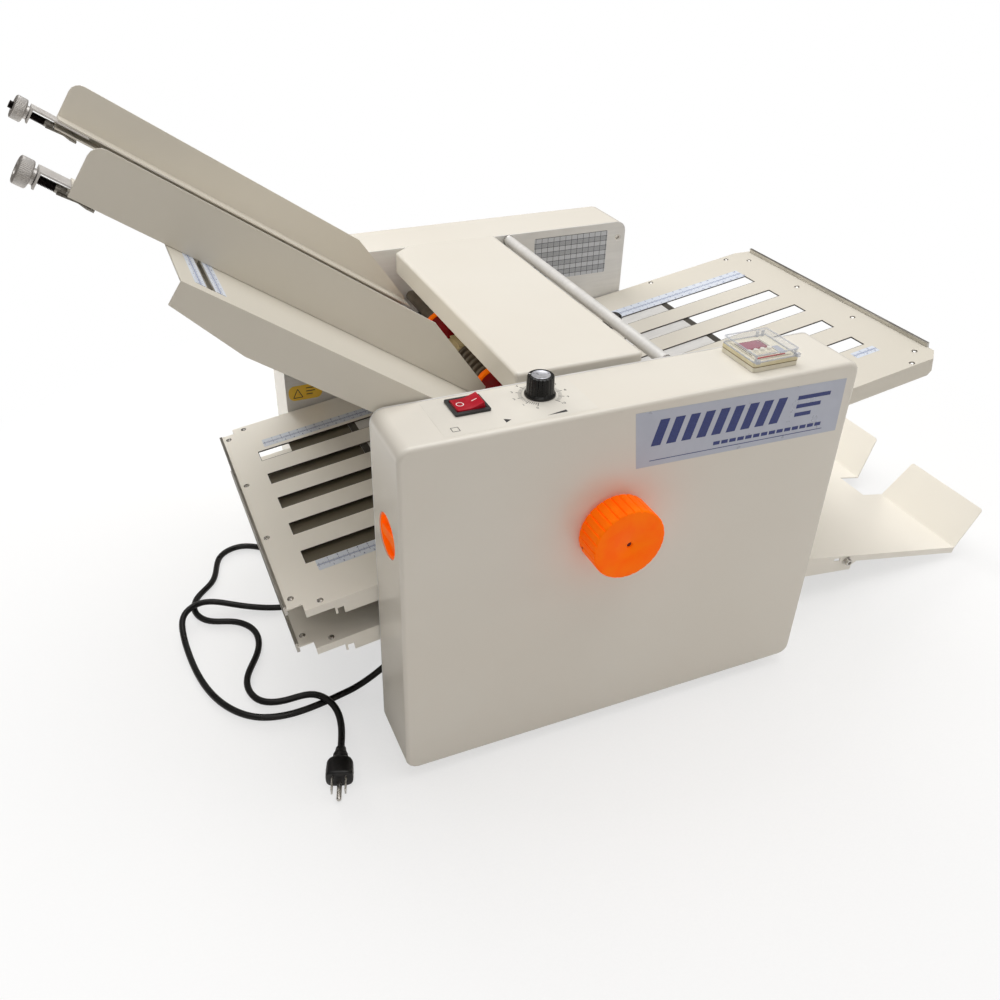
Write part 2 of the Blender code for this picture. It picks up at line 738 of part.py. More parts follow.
def add_base():
    bottom = FOOT_HEIGHT + BASE_LIFT
    outline = [
        (-BASE_LEFT, bottom), (BASE_RIGHT, bottom),
        (BASE_RIGHT, bottom + BASE_FLANGE), (BASE_RIGHT - SHEET, bottom + BASE_FLANGE),
        (BASE_RIGHT - SHEET, bottom + SHEET), (-BASE_LEFT + SHEET, bottom + SHEET),
        (-BASE_LEFT + SHEET, bottom + BASE_FLANGE), (-BASE_LEFT, bottom + BASE_FLANGE),
    ]
    reach = PLATE_INNER - GAP
    node("base_plate", side_panel(Matrix(), outline, -reach, reach), "grey_steel")


def add_feet():
    middle = (COVER_RIM + COVER_FACE) / 2
    reach = COVER_END - FOOT_INSET
    places = {
        "foot_front_left": (-reach, -middle), "foot_front_right": (reach, -middle),
        "foot_rear_left": (-reach, middle), "foot_rear_right": (reach, middle),
    }
    top = FOOT_HEIGHT - GAP
    profile = [(0, FOOT_RADIUS - FOOT_TAPER), (FOOT_TAPER, FOOT_RADIUS), (top, FOOT_RADIUS)]
    for name, (x, y) in places.items():
        node(name, turned(profile, ROUND_SIDES, move(x, y)), "black_rubber")


# Fold rollers, gears, motor and hand wheel

def third_corner(one, two, from_one, from_two):
    """The point at given distances from two axes, on the left of the way between."""
    start = Vector(one)
    way = Vector(two) - start
    along = (from_one ** 2 - from_two ** 2 + way.length ** 2) / (2 * way.length)
    aside = math.sqrt(from_one ** 2 - along ** 2)
    unit = way.normalized()
    return start + unit * along + Vector((-unit.y, unit.x)) * aside


def pitch_radius(teeth):
    return GEAR_MODULE * teeth / 2


def involute(radius, base):
    angle = math.acos(min(1, base / radius))
    return math.tan(angle) - angle


def gear_outline(teeth, phase):
    """An involute gear's outline with a tooth's middle at the phase angle."""
    pitch = pitch_radius(teeth)
    base = pitch * math.cos(math.radians(PRESSURE_ANGLE))
    tip = pitch + GEAR_MODULE * ADDENDUM_SHARE
    root = pitch - GEAR_MODULE * DEDENDUM_SHARE
    half_tooth = math.pi / (2 * teeth) * (1 - BACKLASH_SHARE) + involute(pitch, base)
    flank = [(r, half_tooth - involute(max(r, base), base)) for r in (root, pitch, tip)]
    outline = []
    for tooth in range(teeth):
        middle = phase + 2 * math.pi * tooth / teeth
        outline += [(r, middle - a) for r, a in flank]
        outline += [(r, middle + a) for r, a in reversed(flank)]
    return [(r * math.cos(a), r * math.sin(a)) for r, a in outline]


def meshed_phase(one, phase, teeth, two, other_teeth):
    """The second gear's phase that puts its gap where the first gear has a tooth."""
    way = Vector(two) - Vector(one)
    bearing = math.atan2(way.y, way.x)
    offset = math.pi * GEAR_MODULE / 2 - pitch_radius(teeth) * (bearing - phase)
    return bearing + math.pi - offset / pitch_radius(other_teeth)


def gear(teeth, phase, axis, bore):
    frame = move(axis[0], 0, axis[1])
    hole = circle(bore, SMALL_SIDES)
    return side_panel(frame, gear_outline(teeth, phase), -GEAR_FRONT, -GEAR_REAR, [hole])


def add_fold_rollers():
    reach = PLATE_INNER - ROLLER_END_CLEARANCE
    front_ends = (WHEEL_SHAFT_END, JOURNAL_END, JOURNAL_END)
    for index, ((x, z), front_end) in enumerate(zip(FOLD_AXES, front_ends), 1):
        profile = [
            (-front_end, JOURNAL_RADIUS), (-reach, JOURNAL_RADIUS), (-reach, FOLD_RADIUS),
            (reach, FOLD_RADIUS), (reach, JOURNAL_RADIUS), (REAR_JOURNAL_END, JOURNAL_RADIUS),
        ]
        roller = turned(profile, ROUND_SIDES, move(x, 0, z) @ ALONG_Y)
        node(f"fold_roller_{index}", roller, "black_rubber", (x, 0, z))


def add_gears():
    main, upper, lower = FOLD_AXES
    phases = [0, meshed_phase(main, 0, FOLD_TEETH, upper, FOLD_TEETH)]
    phases.append(meshed_phase(main, 0, FOLD_TEETH, lower, FOLD_TEETH))
    for index, (axis, phase) in enumerate(zip(FOLD_AXES, phases), 1):
        solid = gear(FOLD_TEETH, phase, axis, JOURNAL_RADIUS + GAP)
        node(f"fold_gear_{index}", solid, "white_plastic", (axis[0], 0, axis[1]))
    feed = (FEED_X, FEED_Z)
    phase = meshed_phase(upper, phases[1], FOLD_TEETH, feed, FEED_TEETH)
    solid = gear(FEED_TEETH, phase, feed, FEED_SHAFT_RADIUS + GAP)
    node("feed_gear", solid, "white_plastic", (FEED_X, 0, FEED_Z))
    phase = meshed_phase(lower, phases[2], FOLD_TEETH, MOTOR_AXIS, PINION_TEETH)
    outline = gear_outline(PINION_TEETH, phase)
    frame = move(MOTOR_AXIS[0], 0, MOTOR_AXIS[1])
    pinion = side_panel(frame, outline, -GEAR_FRONT, -GEAR_REAR)
    shaft_end = MOTOR_REAR + MOTOR_BORE_DEPTH - GAP
    shaft = rod(-shaft_end, -GEAR_REAR + GEAR_STANDOFF / 2, MOTOR_SHAFT_RADIUS, SMALL_SIDES, frame @ ALONG_Y)
    node("motor_pinion", join(pinion, shaft), "dark_steel", (MOTOR_AXIS[0], 0, MOTOR_AXIS[1]))


def add_motor():
    frame = move(MOTOR_AXIS[0], 0, MOTOR_AXIS[1]) @ ALONG_Y
    front = MOTOR_REAR + MOTOR_LENGTH
    profile = [
        (-MOTOR_REAR - MOTOR_BORE_DEPTH, MOTOR_SHAFT_RADIUS + GAP),
        (-MOTOR_REAR, MOTOR_SHAFT_RADIUS + GAP),
        (-MOTOR_REAR, MOTOR_RADIUS - MOTOR_CHAMFER),
        (-MOTOR_REAR - MOTOR_CHAMFER, MOTOR_RADIUS),
        (-front + MOTOR_CHAMFER, MOTOR_RADIUS),
        (-front, MOTOR_RADIUS - MOTOR_CHAMFER),
    ]
    housing = turned(profile, ROUND_SIDES, frame)
    posts = []
    for quarter in (1, 2, 3):
        angle = math.radians(MOTOR_BEARING + 180 + 90 * quarter)
        x = MOTOR_AXIS[0] + MOTOR_POST_REACH * math.cos(angle)
        z = MOTOR_AXIS[1] + MOTOR_POST_REACH * math.sin(angle)
        ends = (-MOTOR_REAR - OVERRUN, -PLATE_OUTER - GAP)
        posts.append(rod(*ends, MOTOR_POST_RADIUS, SMALL_SIDES, move(x, 0, z) @ ALONG_Y))
    node("motor", join(housing, *posts), "dark_steel")


def add_hand_wheel():
    back = COVER_FACE + WHEEL_STANDOFF
    front = back + WHEEL_DEPTH
    frame = move(WHEEL_X, 0, WHEEL_Z) @ UPRIGHT
    rim = fluted(WHEEL_RADIUS, WHEEL_FLUTE_DEPTH, WHEEL_FLUTES)
    plain = circle(WHEEL_RADIUS - WHEEL_FLUTE_DEPTH - WHEEL_CHAMFER, len(rim))
    rings = [
        [(x, y, back) for x, y in rim],
        [(x, y, front - WHEEL_CHAMFER) for x, y in rim],
        [(x, y, front) for x, y in plain],
    ]
    bore = rod(back - OVERRUN, back + WHEEL_BORE_DEPTH, JOURNAL_RADIUS + GAP, SMALL_SIDES, frame)
    eye = rod(front - WHEEL_EYE_DEPTH, front + OVERRUN, WHEEL_EYE_RADIUS, SMALL_SIDES, frame)
    node("hand_wheel", cut(loft(rings, frame), bore, eye), "orange_plastic", (WHEEL_X, 0, WHEEL_Z))


# Feed rollers

def ribbed_profile(start, end):
    """Ribs and grooves of even width along a shaft between two places."""
    width = (end - start) / (2 * RIB_COUNT - 1)
    profile = []
    for index in range(2 * RIB_COUNT - 1):
        radius = RIB_GROOVE_RADIUS if index % 2 else RIB_RADIUS
        profile += [(start + index * width, radius), (start + (index + 1) * width, radius)]
    return profile


def add_feed_rollers():
    frame = move(FEED_X, 0, FEED_Z) @ ALONG_Y
    origin = (FEED_X, 0, FEED_Z)
    bore = FEED_SHAFT_RADIUS + GAP
    front_start = FRONT_TYRE_END + GAP
    front_end = front_start + FLANGE_THICKNESS
    ribs = ribbed_profile(front_end + GAP, TOOTHED_START - GAP)
    shaft = [(-JOURNAL_END, FEED_SHAFT_RADIUS), (ribs[0][0], FEED_SHAFT_RADIUS), *ribs]
    shaft += [(ribs[-1][0], FEED_SHAFT_RADIUS), (REAR_JOURNAL_END, FEED_SHAFT_RADIUS)]
    node("feed_shaft", turned(shaft, SMALL_SIDES, frame), "dark_steel", origin)
    rear_start = REAR_TYRE_END + GAP
    rear_end = rear_start + FLANGE_THICKNESS
    sleeves = (
        ("front_feed_roller", FRONT_TYRE_START, FRONT_TYRE_END, TYRE_RADIUS, "red_rubber"),
        ("front_roller_flange", front_start, front_end, FLANGE_RADIUS, "orange_plastic"),
        ("rear_feed_roller", TOOTHED_END + GAP, REAR_TYRE_END, TYRE_RADIUS, "red_rubber"),
        ("rear_roller_flange", rear_start, rear_end, FLANGE_RADIUS, "orange_plastic"),
    )
    for name, start, end, radius, finish in sleeves:
        node(name, tube(start, end, bore, radius, ROUND_SIDES, frame), finish, origin)
    outline = fluted(TOOTHED_RADIUS, TOOTHED_DEPTH, TOOTHED_TEETH)
    hole = circle(bore, SMALL_SIDES)
    wheel = side_panel(move(FEED_X, 0, FEED_Z), outline, TOOTHED_START, TOOTHED_END, [hole])
    node("toothed_feed_wheel", wheel, "cream_plastic", origin)


def add_separator_pad():
    frame = sloped(FEED_X, FEED_Z, PAD_BEARING)
    near = TYRE_RADIUS + GAP
    bar_near = near + PAD_THICKNESS
    bar = rectangle(bar_near, -PAD_BAR_WIDTH / 2, bar_near + PAD_BAR_THICKNESS, PAD_BAR_WIDTH / 2)
    pad = rectangle(near, -PAD_LENGTH / 2, bar_near + PAD_BAR_THICKNESS / 2, PAD_LENGTH / 2)
    reach = PLATE_INNER - GAP
    middle = (TOOTHED_END + REAR_TYRE_END) / 2
    solid = side_panel(frame, bar, -reach, reach)
    pad_solid = side_panel(frame, pad, middle - PAD_WIDTH / 2, middle + PAD_WIDTH / 2)
    node("separator_pad", join(solid, pad_solid), "black_rubber")


# Hood and tie rod

def add_hood():
    corners = rectangle(HOOD_LEFT, -HOOD_HALF_WIDTH, HOOD_RIGHT, HOOD_HALF_WIDTH)
    chamfer = [(HOOD_LEFT + HOOD_CHAMFER_X, HOOD_HALF_WIDTH), (HOOD_LEFT, HOOD_HALF_WIDTH - HOOD_CHAMFER_Y)]
    outline = rounded(corners[:3] + chamfer, HOOD_CORNER)
    hood = shell(outline, SHEET, HOOD_FILLET, HOOD_DEPTH, move(0, 0, HOOD_TOP - HOOD_DEPTH))
    frame = move(HINGE_X, 0, HINGE_Z) @ ALONG_Y
    pins = []
    for side in (-1, 1):
        ends = (side * (HOOD_HALF_WIDTH - SHEET - OVERRUN), side * (PLATE_INNER + SHEET / 2))
        pins.append(rod(*ends, HINGE_PIN_RADIUS, SMALL_SIDES, frame))
    node("top_hood", join(hood, *pins), "cream_paint", (HINGE_X, 0, HINGE_Z))


def add_tie_rod():
    reach = PLATE_INNER - GAP
    solid = rod(-reach, reach, TIE_ROD_RADIUS, ROUND_SIDES, move(TIE_ROD_X, 0, TIE_ROD_Z) @ ALONG_Y)
    node("tie_rod", solid, "grey_steel")


# Feed table, guides and clamps

def add_feed_table():
    slot_half = RAIL_WIDTH / 2 + GAP
    slot_reach = RAIL_HALF_LENGTH + GAP
    slot = rectangle(RAIL_CENTRE - slot_half, -slot_reach, RAIL_CENTRE + slot_half, slot_reach)
    solid = channel(TABLE, TABLE_OUTER, TABLE_INNER, TABLE_HALF_WIDTH, SKIRT_INNER, SHEET)
    skirt_cut = trim_below(
        TABLE, (TABLE_OUTER, -SKIRT_OUTER), (SKIRT_BREAK, -SKIRT_INNER), SKIRT_INNER, TABLE_HALF_WIDTH,
    )
    node("feed_table", cut(solid, through(TABLE, slot, SHEET), skirt_cut), "cream_paint")


def add_guide_rail():
    half = RAIL_WIDTH / 2
    groove = half - RAIL_WALL
    across = [
        (-half, 0), (-half, -RAIL_DEPTH), (half, -RAIL_DEPTH), (half, 0),
        (groove, 0), (groove, -RAIL_DEPTH + RAIL_WALL), (-groove, -RAIL_DEPTH + RAIL_WALL), (-groove, 0),
    ]
    outline = [(RAIL_CENTRE + x, z) for x, z in across]
    solid = side_panel(TABLE, outline, -RAIL_HALF_LENGTH, RAIL_HALF_LENGTH)
    node("guide_rail", solid, "aluminium")


def add_side_guide(name, side, face):
    """One guide, its strap, clamp rod and nut; face is its outer face's distance."""
    def span(start, end):
        return sorted((side * (face - start), side * (face - end)))

    def section_point(inwards, height):
        return side * (face - inwards), height

    bend = GAP + SHEET
    shelf = GUIDE_LEDGE_HEIGHT + SHEET
    section = [
        section_point(0, GAP), section_point(GUIDE_FLANGE, GAP), section_point(GUIDE_FLANGE, bend),
        section_point(SHEET, bend), section_point(SHEET, GUIDE_LEDGE_HEIGHT),
        section_point(GUIDE_FLANGE, GUIDE_LEDGE_HEIGHT), section_point(GUIDE_FLANGE, shelf),
        section_point(SHEET, shelf), section_point(SHEET, GUIDE_HEIGHT + OVERRUN),
        section_point(0, GUIDE_HEIGHT + OVERRUN),
    ]
    solid = extruded(section, GUIDE_OUTER - OVERRUN, GUIDE_INNER + OVERRUN, TABLE @ ACROSS)
    outline = [
        (GUIDE_OUTER, -OVERRUN), (GUIDE_INNER, -OVERRUN), (GUIDE_INNER, GUIDE_TIP_HEIGHT),
        (GUIDE_BREAK, GUIDE_HEIGHT), (GUIDE_OUTER, GUIDE_HEIGHT),
    ]
    outline = rounded(outline, (0, 0, 0, 0, GUIDE_CORNER))
    combine(solid, [side_panel(TABLE, outline, *span(-OVERRUN, GUIDE_FLANGE + OVERRUN))], "INTERSECT")
    tongue_left = RAIL_CENTRE - TONGUE_WIDTH / 2
    tongue_front, tongue_rear = span(SHEET, GUIDE_FLANGE - SHEET)
    tongue_outline = rectangle(tongue_left, tongue_front, tongue_left + TONGUE_WIDTH, tongue_rear)
    tongue = extruded(tongue_outline, -TONGUE_DEPTH, GAP + SHEET / 2, TABLE)
    origin = TABLE @ Vector((0, side * face, 0))
    node(f"{name}_side_guide", join(solid, tongue), "shaded_cream_paint", origin)
    add_strap(name, *span(SHEET + GAP, SHEET + GAP + STRAP_WIDTH), side * (face - ROD_INSET))
    add_clamp_rod(name, side * (face - ROD_INSET))
    add_thumb_nut(name, side * (face - ROD_INSET))


def add_strap(name, front, rear, middle):
    top = GUIDE_LEDGE_HEIGHT - GAP
    bar = extruded(rectangle(STRAP_OUTER, front, STRAP_INNER, rear), top - SHEET, top, TABLE)
    hole = circle(ROD_RADIUS + GAP, SMALL_SIDES, middle, 0)
    lug_outline = rectangle(front, -LUG_DROP, rear, top - SHEET / 2)
    lug = extruded(lug_outline, STRAP_OUTER, STRAP_OUTER + SHEET, TABLE @ ACROSS, [hole])
    node(f"{name}_guide_strap", join(bar, lug), "chrome", TABLE @ Vector((STRAP_OUTER, middle, 0)))


def add_clamp_rod(name, middle):
    frame = TABLE @ move(0, middle)
    solid = rod(ROD_OUTER, GUIDE_OUTER - GAP, ROD_RADIUS, SMALL_SIDES, frame @ ALONG_X)
    half = HOOK_WIDTH / 2
    hook = extruded(rectangle(HOOK_OUTER, -half, HOOK_INNER, half), -HOOK_DEPTH, 0, frame)
    node(f"{name}_clamp_rod", join(solid, hook), "dark_steel", TABLE @ Vector((ROD_OUTER, middle, 0)))


def add_thumb_nut(name, middle):
    frame = TABLE @ move(0, middle) @ ACROSS
    collar_end = STRAP_OUTER - GAP
    collar_start = collar_end - COLLAR_LENGTH
    rim = fluted(NUT_RADIUS, NUT_KNURL_DEPTH, NUT_KNURLS)
    head = extruded(rim, collar_start - NUT_LENGTH, collar_start, frame)
    collar = rod(collar_start - OVERRUN, collar_end, COLLAR_RADIUS, SMALL_SIDES, frame)
    bore_start = collar_start - NUT_LENGTH - OVERRUN
    bore = rod(bore_start, collar_end + OVERRUN, ROD_RADIUS + GAP, SMALL_SIDES, frame)
    origin = TABLE @ Vector((collar_start, middle, 0))
    node(f"{name}_thumb_nut", cut(join(head, collar), bore), "aluminium", origin)


# Folding trays and stops

def slots(inner, outer):
    """The rows of slots through a tray, between two places along it."""
    rows = [(index - (SLOT_COUNT - 1) / 2) * SLOT_PITCH for index in range(SLOT_COUNT)]
    return [rectangle(inner, y - SLOT_WIDTH / 2, outer, y + SLOT_WIDTH / 2) for y in rows]


def add_left_tray(name, frame):
    solid = channel(frame, LEFT_OUTER, LEFT_INNER, TRAY_HALF_WIDTH, LEFT_FLANGE, TRAY_SHEET)
    cutters = [through(frame, row, TRAY_SHEET) for row in slots(LEFT_SLOT_OUTER, LEFT_SLOT_INNER)]
    beyond = LEFT_OUTER - OVERRUN
    for side in (-1, 1):
        near, far = sorted((side * (TRAY_HALF_WIDTH - LEFT_NOTCH_WIDTH), side * (TRAY_HALF_WIDTH + OVERRUN)))
        notch = rectangle(beyond, near, LEFT_OUTER + LEFT_NOTCH_LENGTH, far)
        cutters.append(through(frame, notch, LEFT_FLANGE))
    tooth_end = HOOK_SLOT_START + HOOK_TOOTH
    slot_end = tooth_end + HOOK_SLOT_WIDTH
    floor = -LEFT_FLANGE - OVERRUN
    below_hook = [
        (beyond, floor), (slot_end, floor), (slot_end, -HOOK_SLOT_ROOF),
        (tooth_end, -HOOK_SLOT_ROOF), (tooth_end, -HOOK_TOOTH_DEPTH),
        (HOOK_SLOT_START, -HOOK_TOOTH_DEPTH), (HOOK_SLOT_START, -LEFT_LIP), (beyond, -LEFT_LIP),
    ]
    reach = TRAY_HALF_WIDTH + OVERRUN
    cut(solid, *cutters, side_panel(frame, below_hook, -reach, reach))
    half = LEFT_RAIL_WIDTH / 2
    rail = rectangle(LEFT_OUTER - half, -LEFT_RAIL_HALF_LENGTH, LEFT_OUTER + half, LEFT_RAIL_HALF_LENGTH)
    join(solid, extruded(rail, -LEFT_RAIL_DROP, LEFT_RAIL_RISE, frame))
    node(name, solid, "shaded_cream_paint")


def add_right_tray():
    solid = channel(RIGHT, RIGHT_INNER, RIGHT_OUTER, TRAY_HALF_WIDTH, RIGHT_FLANGE, TRAY_SHEET)
    cutters = [through(RIGHT, row, TRAY_SHEET) for row in slots(RIGHT_SLOT_INNER, RIGHT_SLOT_OUTER)]
    cutters += [
        trim_below(
            RIGHT, (RIGHT_FLANGE_END, -RIGHT_FLANGE), (RIGHT_OUTER, -RIGHT_LIP),
            RIGHT_FLANGE, TRAY_HALF_WIDTH,
        ),
        corner_cutter(RIGHT, RIGHT_OUTER, -TRAY_HALF_WIDTH, RIGHT_CORNER, RIGHT_CORNER, RIGHT_FLANGE),
        corner_cutter(
            RIGHT, RIGHT_OUTER, TRAY_HALF_WIDTH, RIGHT_CHAMFER_LENGTH, RIGHT_CHAMFER_WIDTH, RIGHT_FLANGE,
        ),
    ]
    cut(solid, *cutters)
    half = RIGHT_RAIL_WIDTH / 2
    rail = rectangle(RIGHT_OUTER - half, RIGHT_RAIL_FRONT, RIGHT_OUTER + half, RIGHT_RAIL_REAR)
    join(solid, extruded(rail, -RIGHT_RAIL_DROP, RIGHT_RAIL_RISE, RIGHT))
    node("right_tray", solid, "cream_paint")


def add_stop(name, frame, inner, outer, knob):
    """A sliding stop: a plate under the tray and a knob through its rearmost slot."""
    top = -TRAY_SHEET - GAP
    outline = rectangle(inner, -STOP_HALF_WIDTH, outer, STOP_HALF_WIDTH)
    plate = extruded(outline, top - STOP_SHEET, top, frame)
    row = (SLOT_COUNT - 1) / 2 * SLOT_PITCH
    profile = [
        (top - STOP_SHEET / 2, STOP_STEM_RADIUS), (GAP, STOP_STEM_RADIUS), (GAP, STOP_KNOB_RADIUS),
        (STOP_KNOB_HEIGHT - STOP_KNOB_FILLET, STOP_KNOB_RADIUS),
        (STOP_KNOB_HEIGHT, STOP_KNOB_RADIUS - STOP_KNOB_FILLET),
    ]
    grip = turned(profile, ROUND_SIDES, frame @ move(knob, row))
    node(name, join(plate, grip), "black_plastic", frame @ Vector((knob, row, 0)))


# Exit tray

def add_exit_tray():
    solid = channel(EXIT, EXIT_INNER, EXIT_OUTER, TRAY_HALF_WIDTH, EXIT_FLANGE_INNER, SHEET)
    flange_cut = trim_below(
        EXIT, (EXIT_FLANGE_BREAK, -EXIT_FLANGE_INNER), (EXIT_OUTER, -EXIT_FLANGE_OUTER),
        EXIT_FLANGE_INNER, TRAY_HALF_WIDTH,
    )
    front = -TRAY_HALF_WIDTH - OVERRUN
    rear = -TRAY_HALF_WIDTH + SHEET + OVERRUN
    slot = rectangle(EXIT_SLOT_START, -EXIT_SLOT_BOTTOM, EXIT_SLOT_END, -EXIT_SLOT_TOP)
    screw_hole = circle(SCREW_RADIUS + GAP, SMALL_SIDES, SCREW_U, -SCREW_DROP)
    holes = [side_panel(EXIT, outline, front, rear) for outline in (slot, screw_hole)]
    node("exit_tray", cut(solid, flange_cut, *holes), "cream_paint")


def extension_half_width():
    return TRAY_HALF_WIDTH - SHEET - GAP


def add_exit_extension():
    half = extension_half_width()
    end = EXTENSION_FOLD + FOLD_OVERLAP
    solid = channel(EXTENSION, EXTENSION_INNER, end, half, EXTENSION_DEEP_FLANGE, SHEET)
    notch = rectangle(EXTENSION_NOTCH, NOTCH_FRONT, end + OVERRUN, NOTCH_REAR)
    shallow = [
        (EXIT_OUTER, -EXTENSION_DEEP_FLANGE - OVERRUN), (end + OVERRUN, -EXTENSION_DEEP_FLANGE - OVERRUN),
        (end + OVERRUN, -EXTENSION_FLANGE), (EXIT_OUTER + EXTENSION_FLANGE, -EXTENSION_FLANGE),
    ]
    clear = SCREW_RADIUS + GAP
    drop = SCREW_DROP - SHEET - GAP
    slot = rectangle(SCREW_U - EXTENSION_TRAVEL - clear, -drop - clear, SCREW_U + clear, -drop + clear)
    cut(
        solid, through(EXTENSION, notch, SHEET),
        side_panel(EXTENSION, shallow, -half - OVERRUN, half + OVERRUN),
        side_panel(EXTENSION, slot, -half - OVERRUN, -half + SHEET + OVERRUN),
    )
    foot = -2 * FOLD_OVERLAP
    side = half - GAP
    front_flap = [
        (foot, -side), (FLAP_LENGTH, -side), (FLAP_LENGTH, NOTCH_FRONT - FLAP_SLANT),
        (foot, NOTCH_FRONT - GAP),
    ]
    rear_flap = [
        (foot, NOTCH_REAR + GAP), (FLAP_LENGTH, NOTCH_REAR + FLAP_SLANT), (FLAP_LENGTH, side), (foot, side),
    ]
    join(solid, exit_flap(front_flap), exit_flap(rear_flap))
    origin = EXTENSION @ Vector((EXTENSION_FOLD, 0, 0))
    node("exit_tray_extension", solid, "cream_paint", origin)


def exit_flap(corners):
    """One of the two flaps that stand at the extension's end and stop the sheets."""
    fold = EXTENSION @ Vector((EXTENSION_FOLD, 0, 0))
    outline = rounded(corners, (0, FLAP_CORNER, FLAP_CORNER, 0))
    return extruded(outline, -SHEET, 0, sloped(fold.x, fold.z, FLAP_RISE))


def add_exit_screw():
    frame = EXIT @ move(SCREW_U, 0, -SCREW_DROP) @ ALONG_Y
    outside = -TRAY_HALF_WIDTH - GAP
    inside = -extension_half_width() + SHEET + GAP
    profile = [
        (outside - SCREW_WASHER - SCREW_HEAD, SCREW_HEAD_RADIUS),
        (outside - SCREW_WASHER, SCREW_HEAD_RADIUS),
        (outside - SCREW_WASHER, SCREW_WASHER_RADIUS), (outside, SCREW_WASHER_RADIUS),
        (outside, SCREW_RADIUS), (inside, SCREW_RADIUS), (inside, SCREW_NUT_RADIUS),
        (inside + SCREW_NUT, SCREW_NUT_RADIUS),
    ]
    origin = EXIT @ Vector((SCREW_U, -TRAY_HALF_WIDTH, -SCREW_DROP))
    node("exit_clamp_screw", turned(profile, SMALL_SIDES, frame), "chrome", origin)


# Controls on the front cover

def add_adjuster():
    frame = move(-COVER_END + ADJUSTER_RECESS, ADJUSTER_Y, ADJUSTER_Z)
    back = ADJUSTER_THICKNESS
    profile = [
        (0, ADJUSTER_RADIUS), (back, ADJUSTER_RADIUS), (back, ADJUSTER_BOSS_RADIUS),
        (back + ADJUSTER_BOSS, ADJUSTER_BOSS_RADIUS),
    ]
    disc = turned(profile, ROUND_SIDES, frame @ ALONG_X)
    half_width = GRIP_WIDTH / 2
    half_length = GRIP_LENGTH / 2
    bar = rounded(rectangle(-half_width, -half_length, half_width, half_length), GRIP_CORNER)
    grip = extruded(bar, -GRIP_RISE, OVERRUN, frame @ ACROSS)
    origin = (-COVER_END, ADJUSTER_Y, ADJUSTER_Z)
    node("side_adjuster_knob", join(disc, grip), "orange_plastic", origin)


def centred_outline(length, width, corner):
    return rounded(rectangle(-length / 2, -width / 2, length / 2, width / 2), corner)


def bezel_body_outline(clearance=0):
    length = BEZEL_LENGTH - 2 * BEZEL_LIP + 2 * clearance
    width = BEZEL_WIDTH - 2 * BEZEL_LIP + 2 * clearance
    return centred_outline(length, width, BEZEL_CORNER / 2)


def add_switch():
    opening = centred_outline(BEZEL_OPENING_LENGTH, BEZEL_OPENING_WIDTH, 0)
    bottom = COVER_TOP + GAP
    frame = move(SWITCH_X, SWITCH_Y)
    rim_outline = centred_outline(BEZEL_LENGTH, BEZEL_WIDTH, BEZEL_CORNER)
    rim = extruded(rim_outline, bottom, bottom + BEZEL_RIM, frame, [opening])
    body = extruded(bezel_body_outline(), bottom - BEZEL_DEPTH, bottom + BEZEL_RIM / 2, frame, [opening])
    node("switch_bezel", join(rim, body), "black_plastic")
    outline = [
        (-ROCKER_HALF_LENGTH, -ROCKER_SKIRT), (ROCKER_HALF_LENGTH, -ROCKER_SKIRT),
        (ROCKER_HALF_LENGTH, ROCKER_SHOULDER), (0, ROCKER_DIP), (-ROCKER_HALF_LENGTH, ROCKER_SHOULDER),
    ]
    half = BEZEL_OPENING_WIDTH / 2 - GAP
    pivot = (SWITCH_X, SWITCH_Y, bottom + BEZEL_RIM / 2)
    tilted = move(*pivot) @ Matrix.Rotation(math.radians(ROCKER_TILT), 4, "Y")
    node("rocker_switch", side_panel(tilted, outline, -half, half), "red_plastic", pivot)


def add_speed_knob():
    frame = move(KNOB_X, KNOB_Y, COVER_TOP + GAP)
    profile = [
        (-KNOB_SHAFT_DEPTH, KNOB_SHAFT_RADIUS), (0, KNOB_SHAFT_RADIUS), (0, KNOB_SKIRT_RADIUS),
        (KNOB_SKIRT / 2, KNOB_SKIRT_RADIUS), (KNOB_SKIRT, KNOB_RADIUS - KNOB_FLUTE_DEPTH),
        (KNOB_SKIRT + OVERRUN, KNOB_RADIUS - 2 * KNOB_FLUTE_DEPTH),
    ]
    skirt = turned(profile, ROUND_SIDES, frame)
    rim = fluted(KNOB_RADIUS, KNOB_FLUTE_DEPTH, KNOB_FLUTES)
    plain = circle(KNOB_RADIUS - KNOB_FLUTE_DEPTH - KNOB_CHAMFER, len(rim))
    rings = [
        [(x, y, KNOB_SKIRT * KNOB_OVERLAP_SHARE) for x, y in rim],
        [(x, y, KNOB_HEIGHT - KNOB_CHAMFER) for x, y in rim],
        [(x, y, KNOB_HEIGHT) for x, y in plain],
    ]
    solid = join(skirt, loft(rings, frame))
    node("speed_knob", solid, "black_plastic", (KNOB_X, KNOB_Y, COVER_TOP))


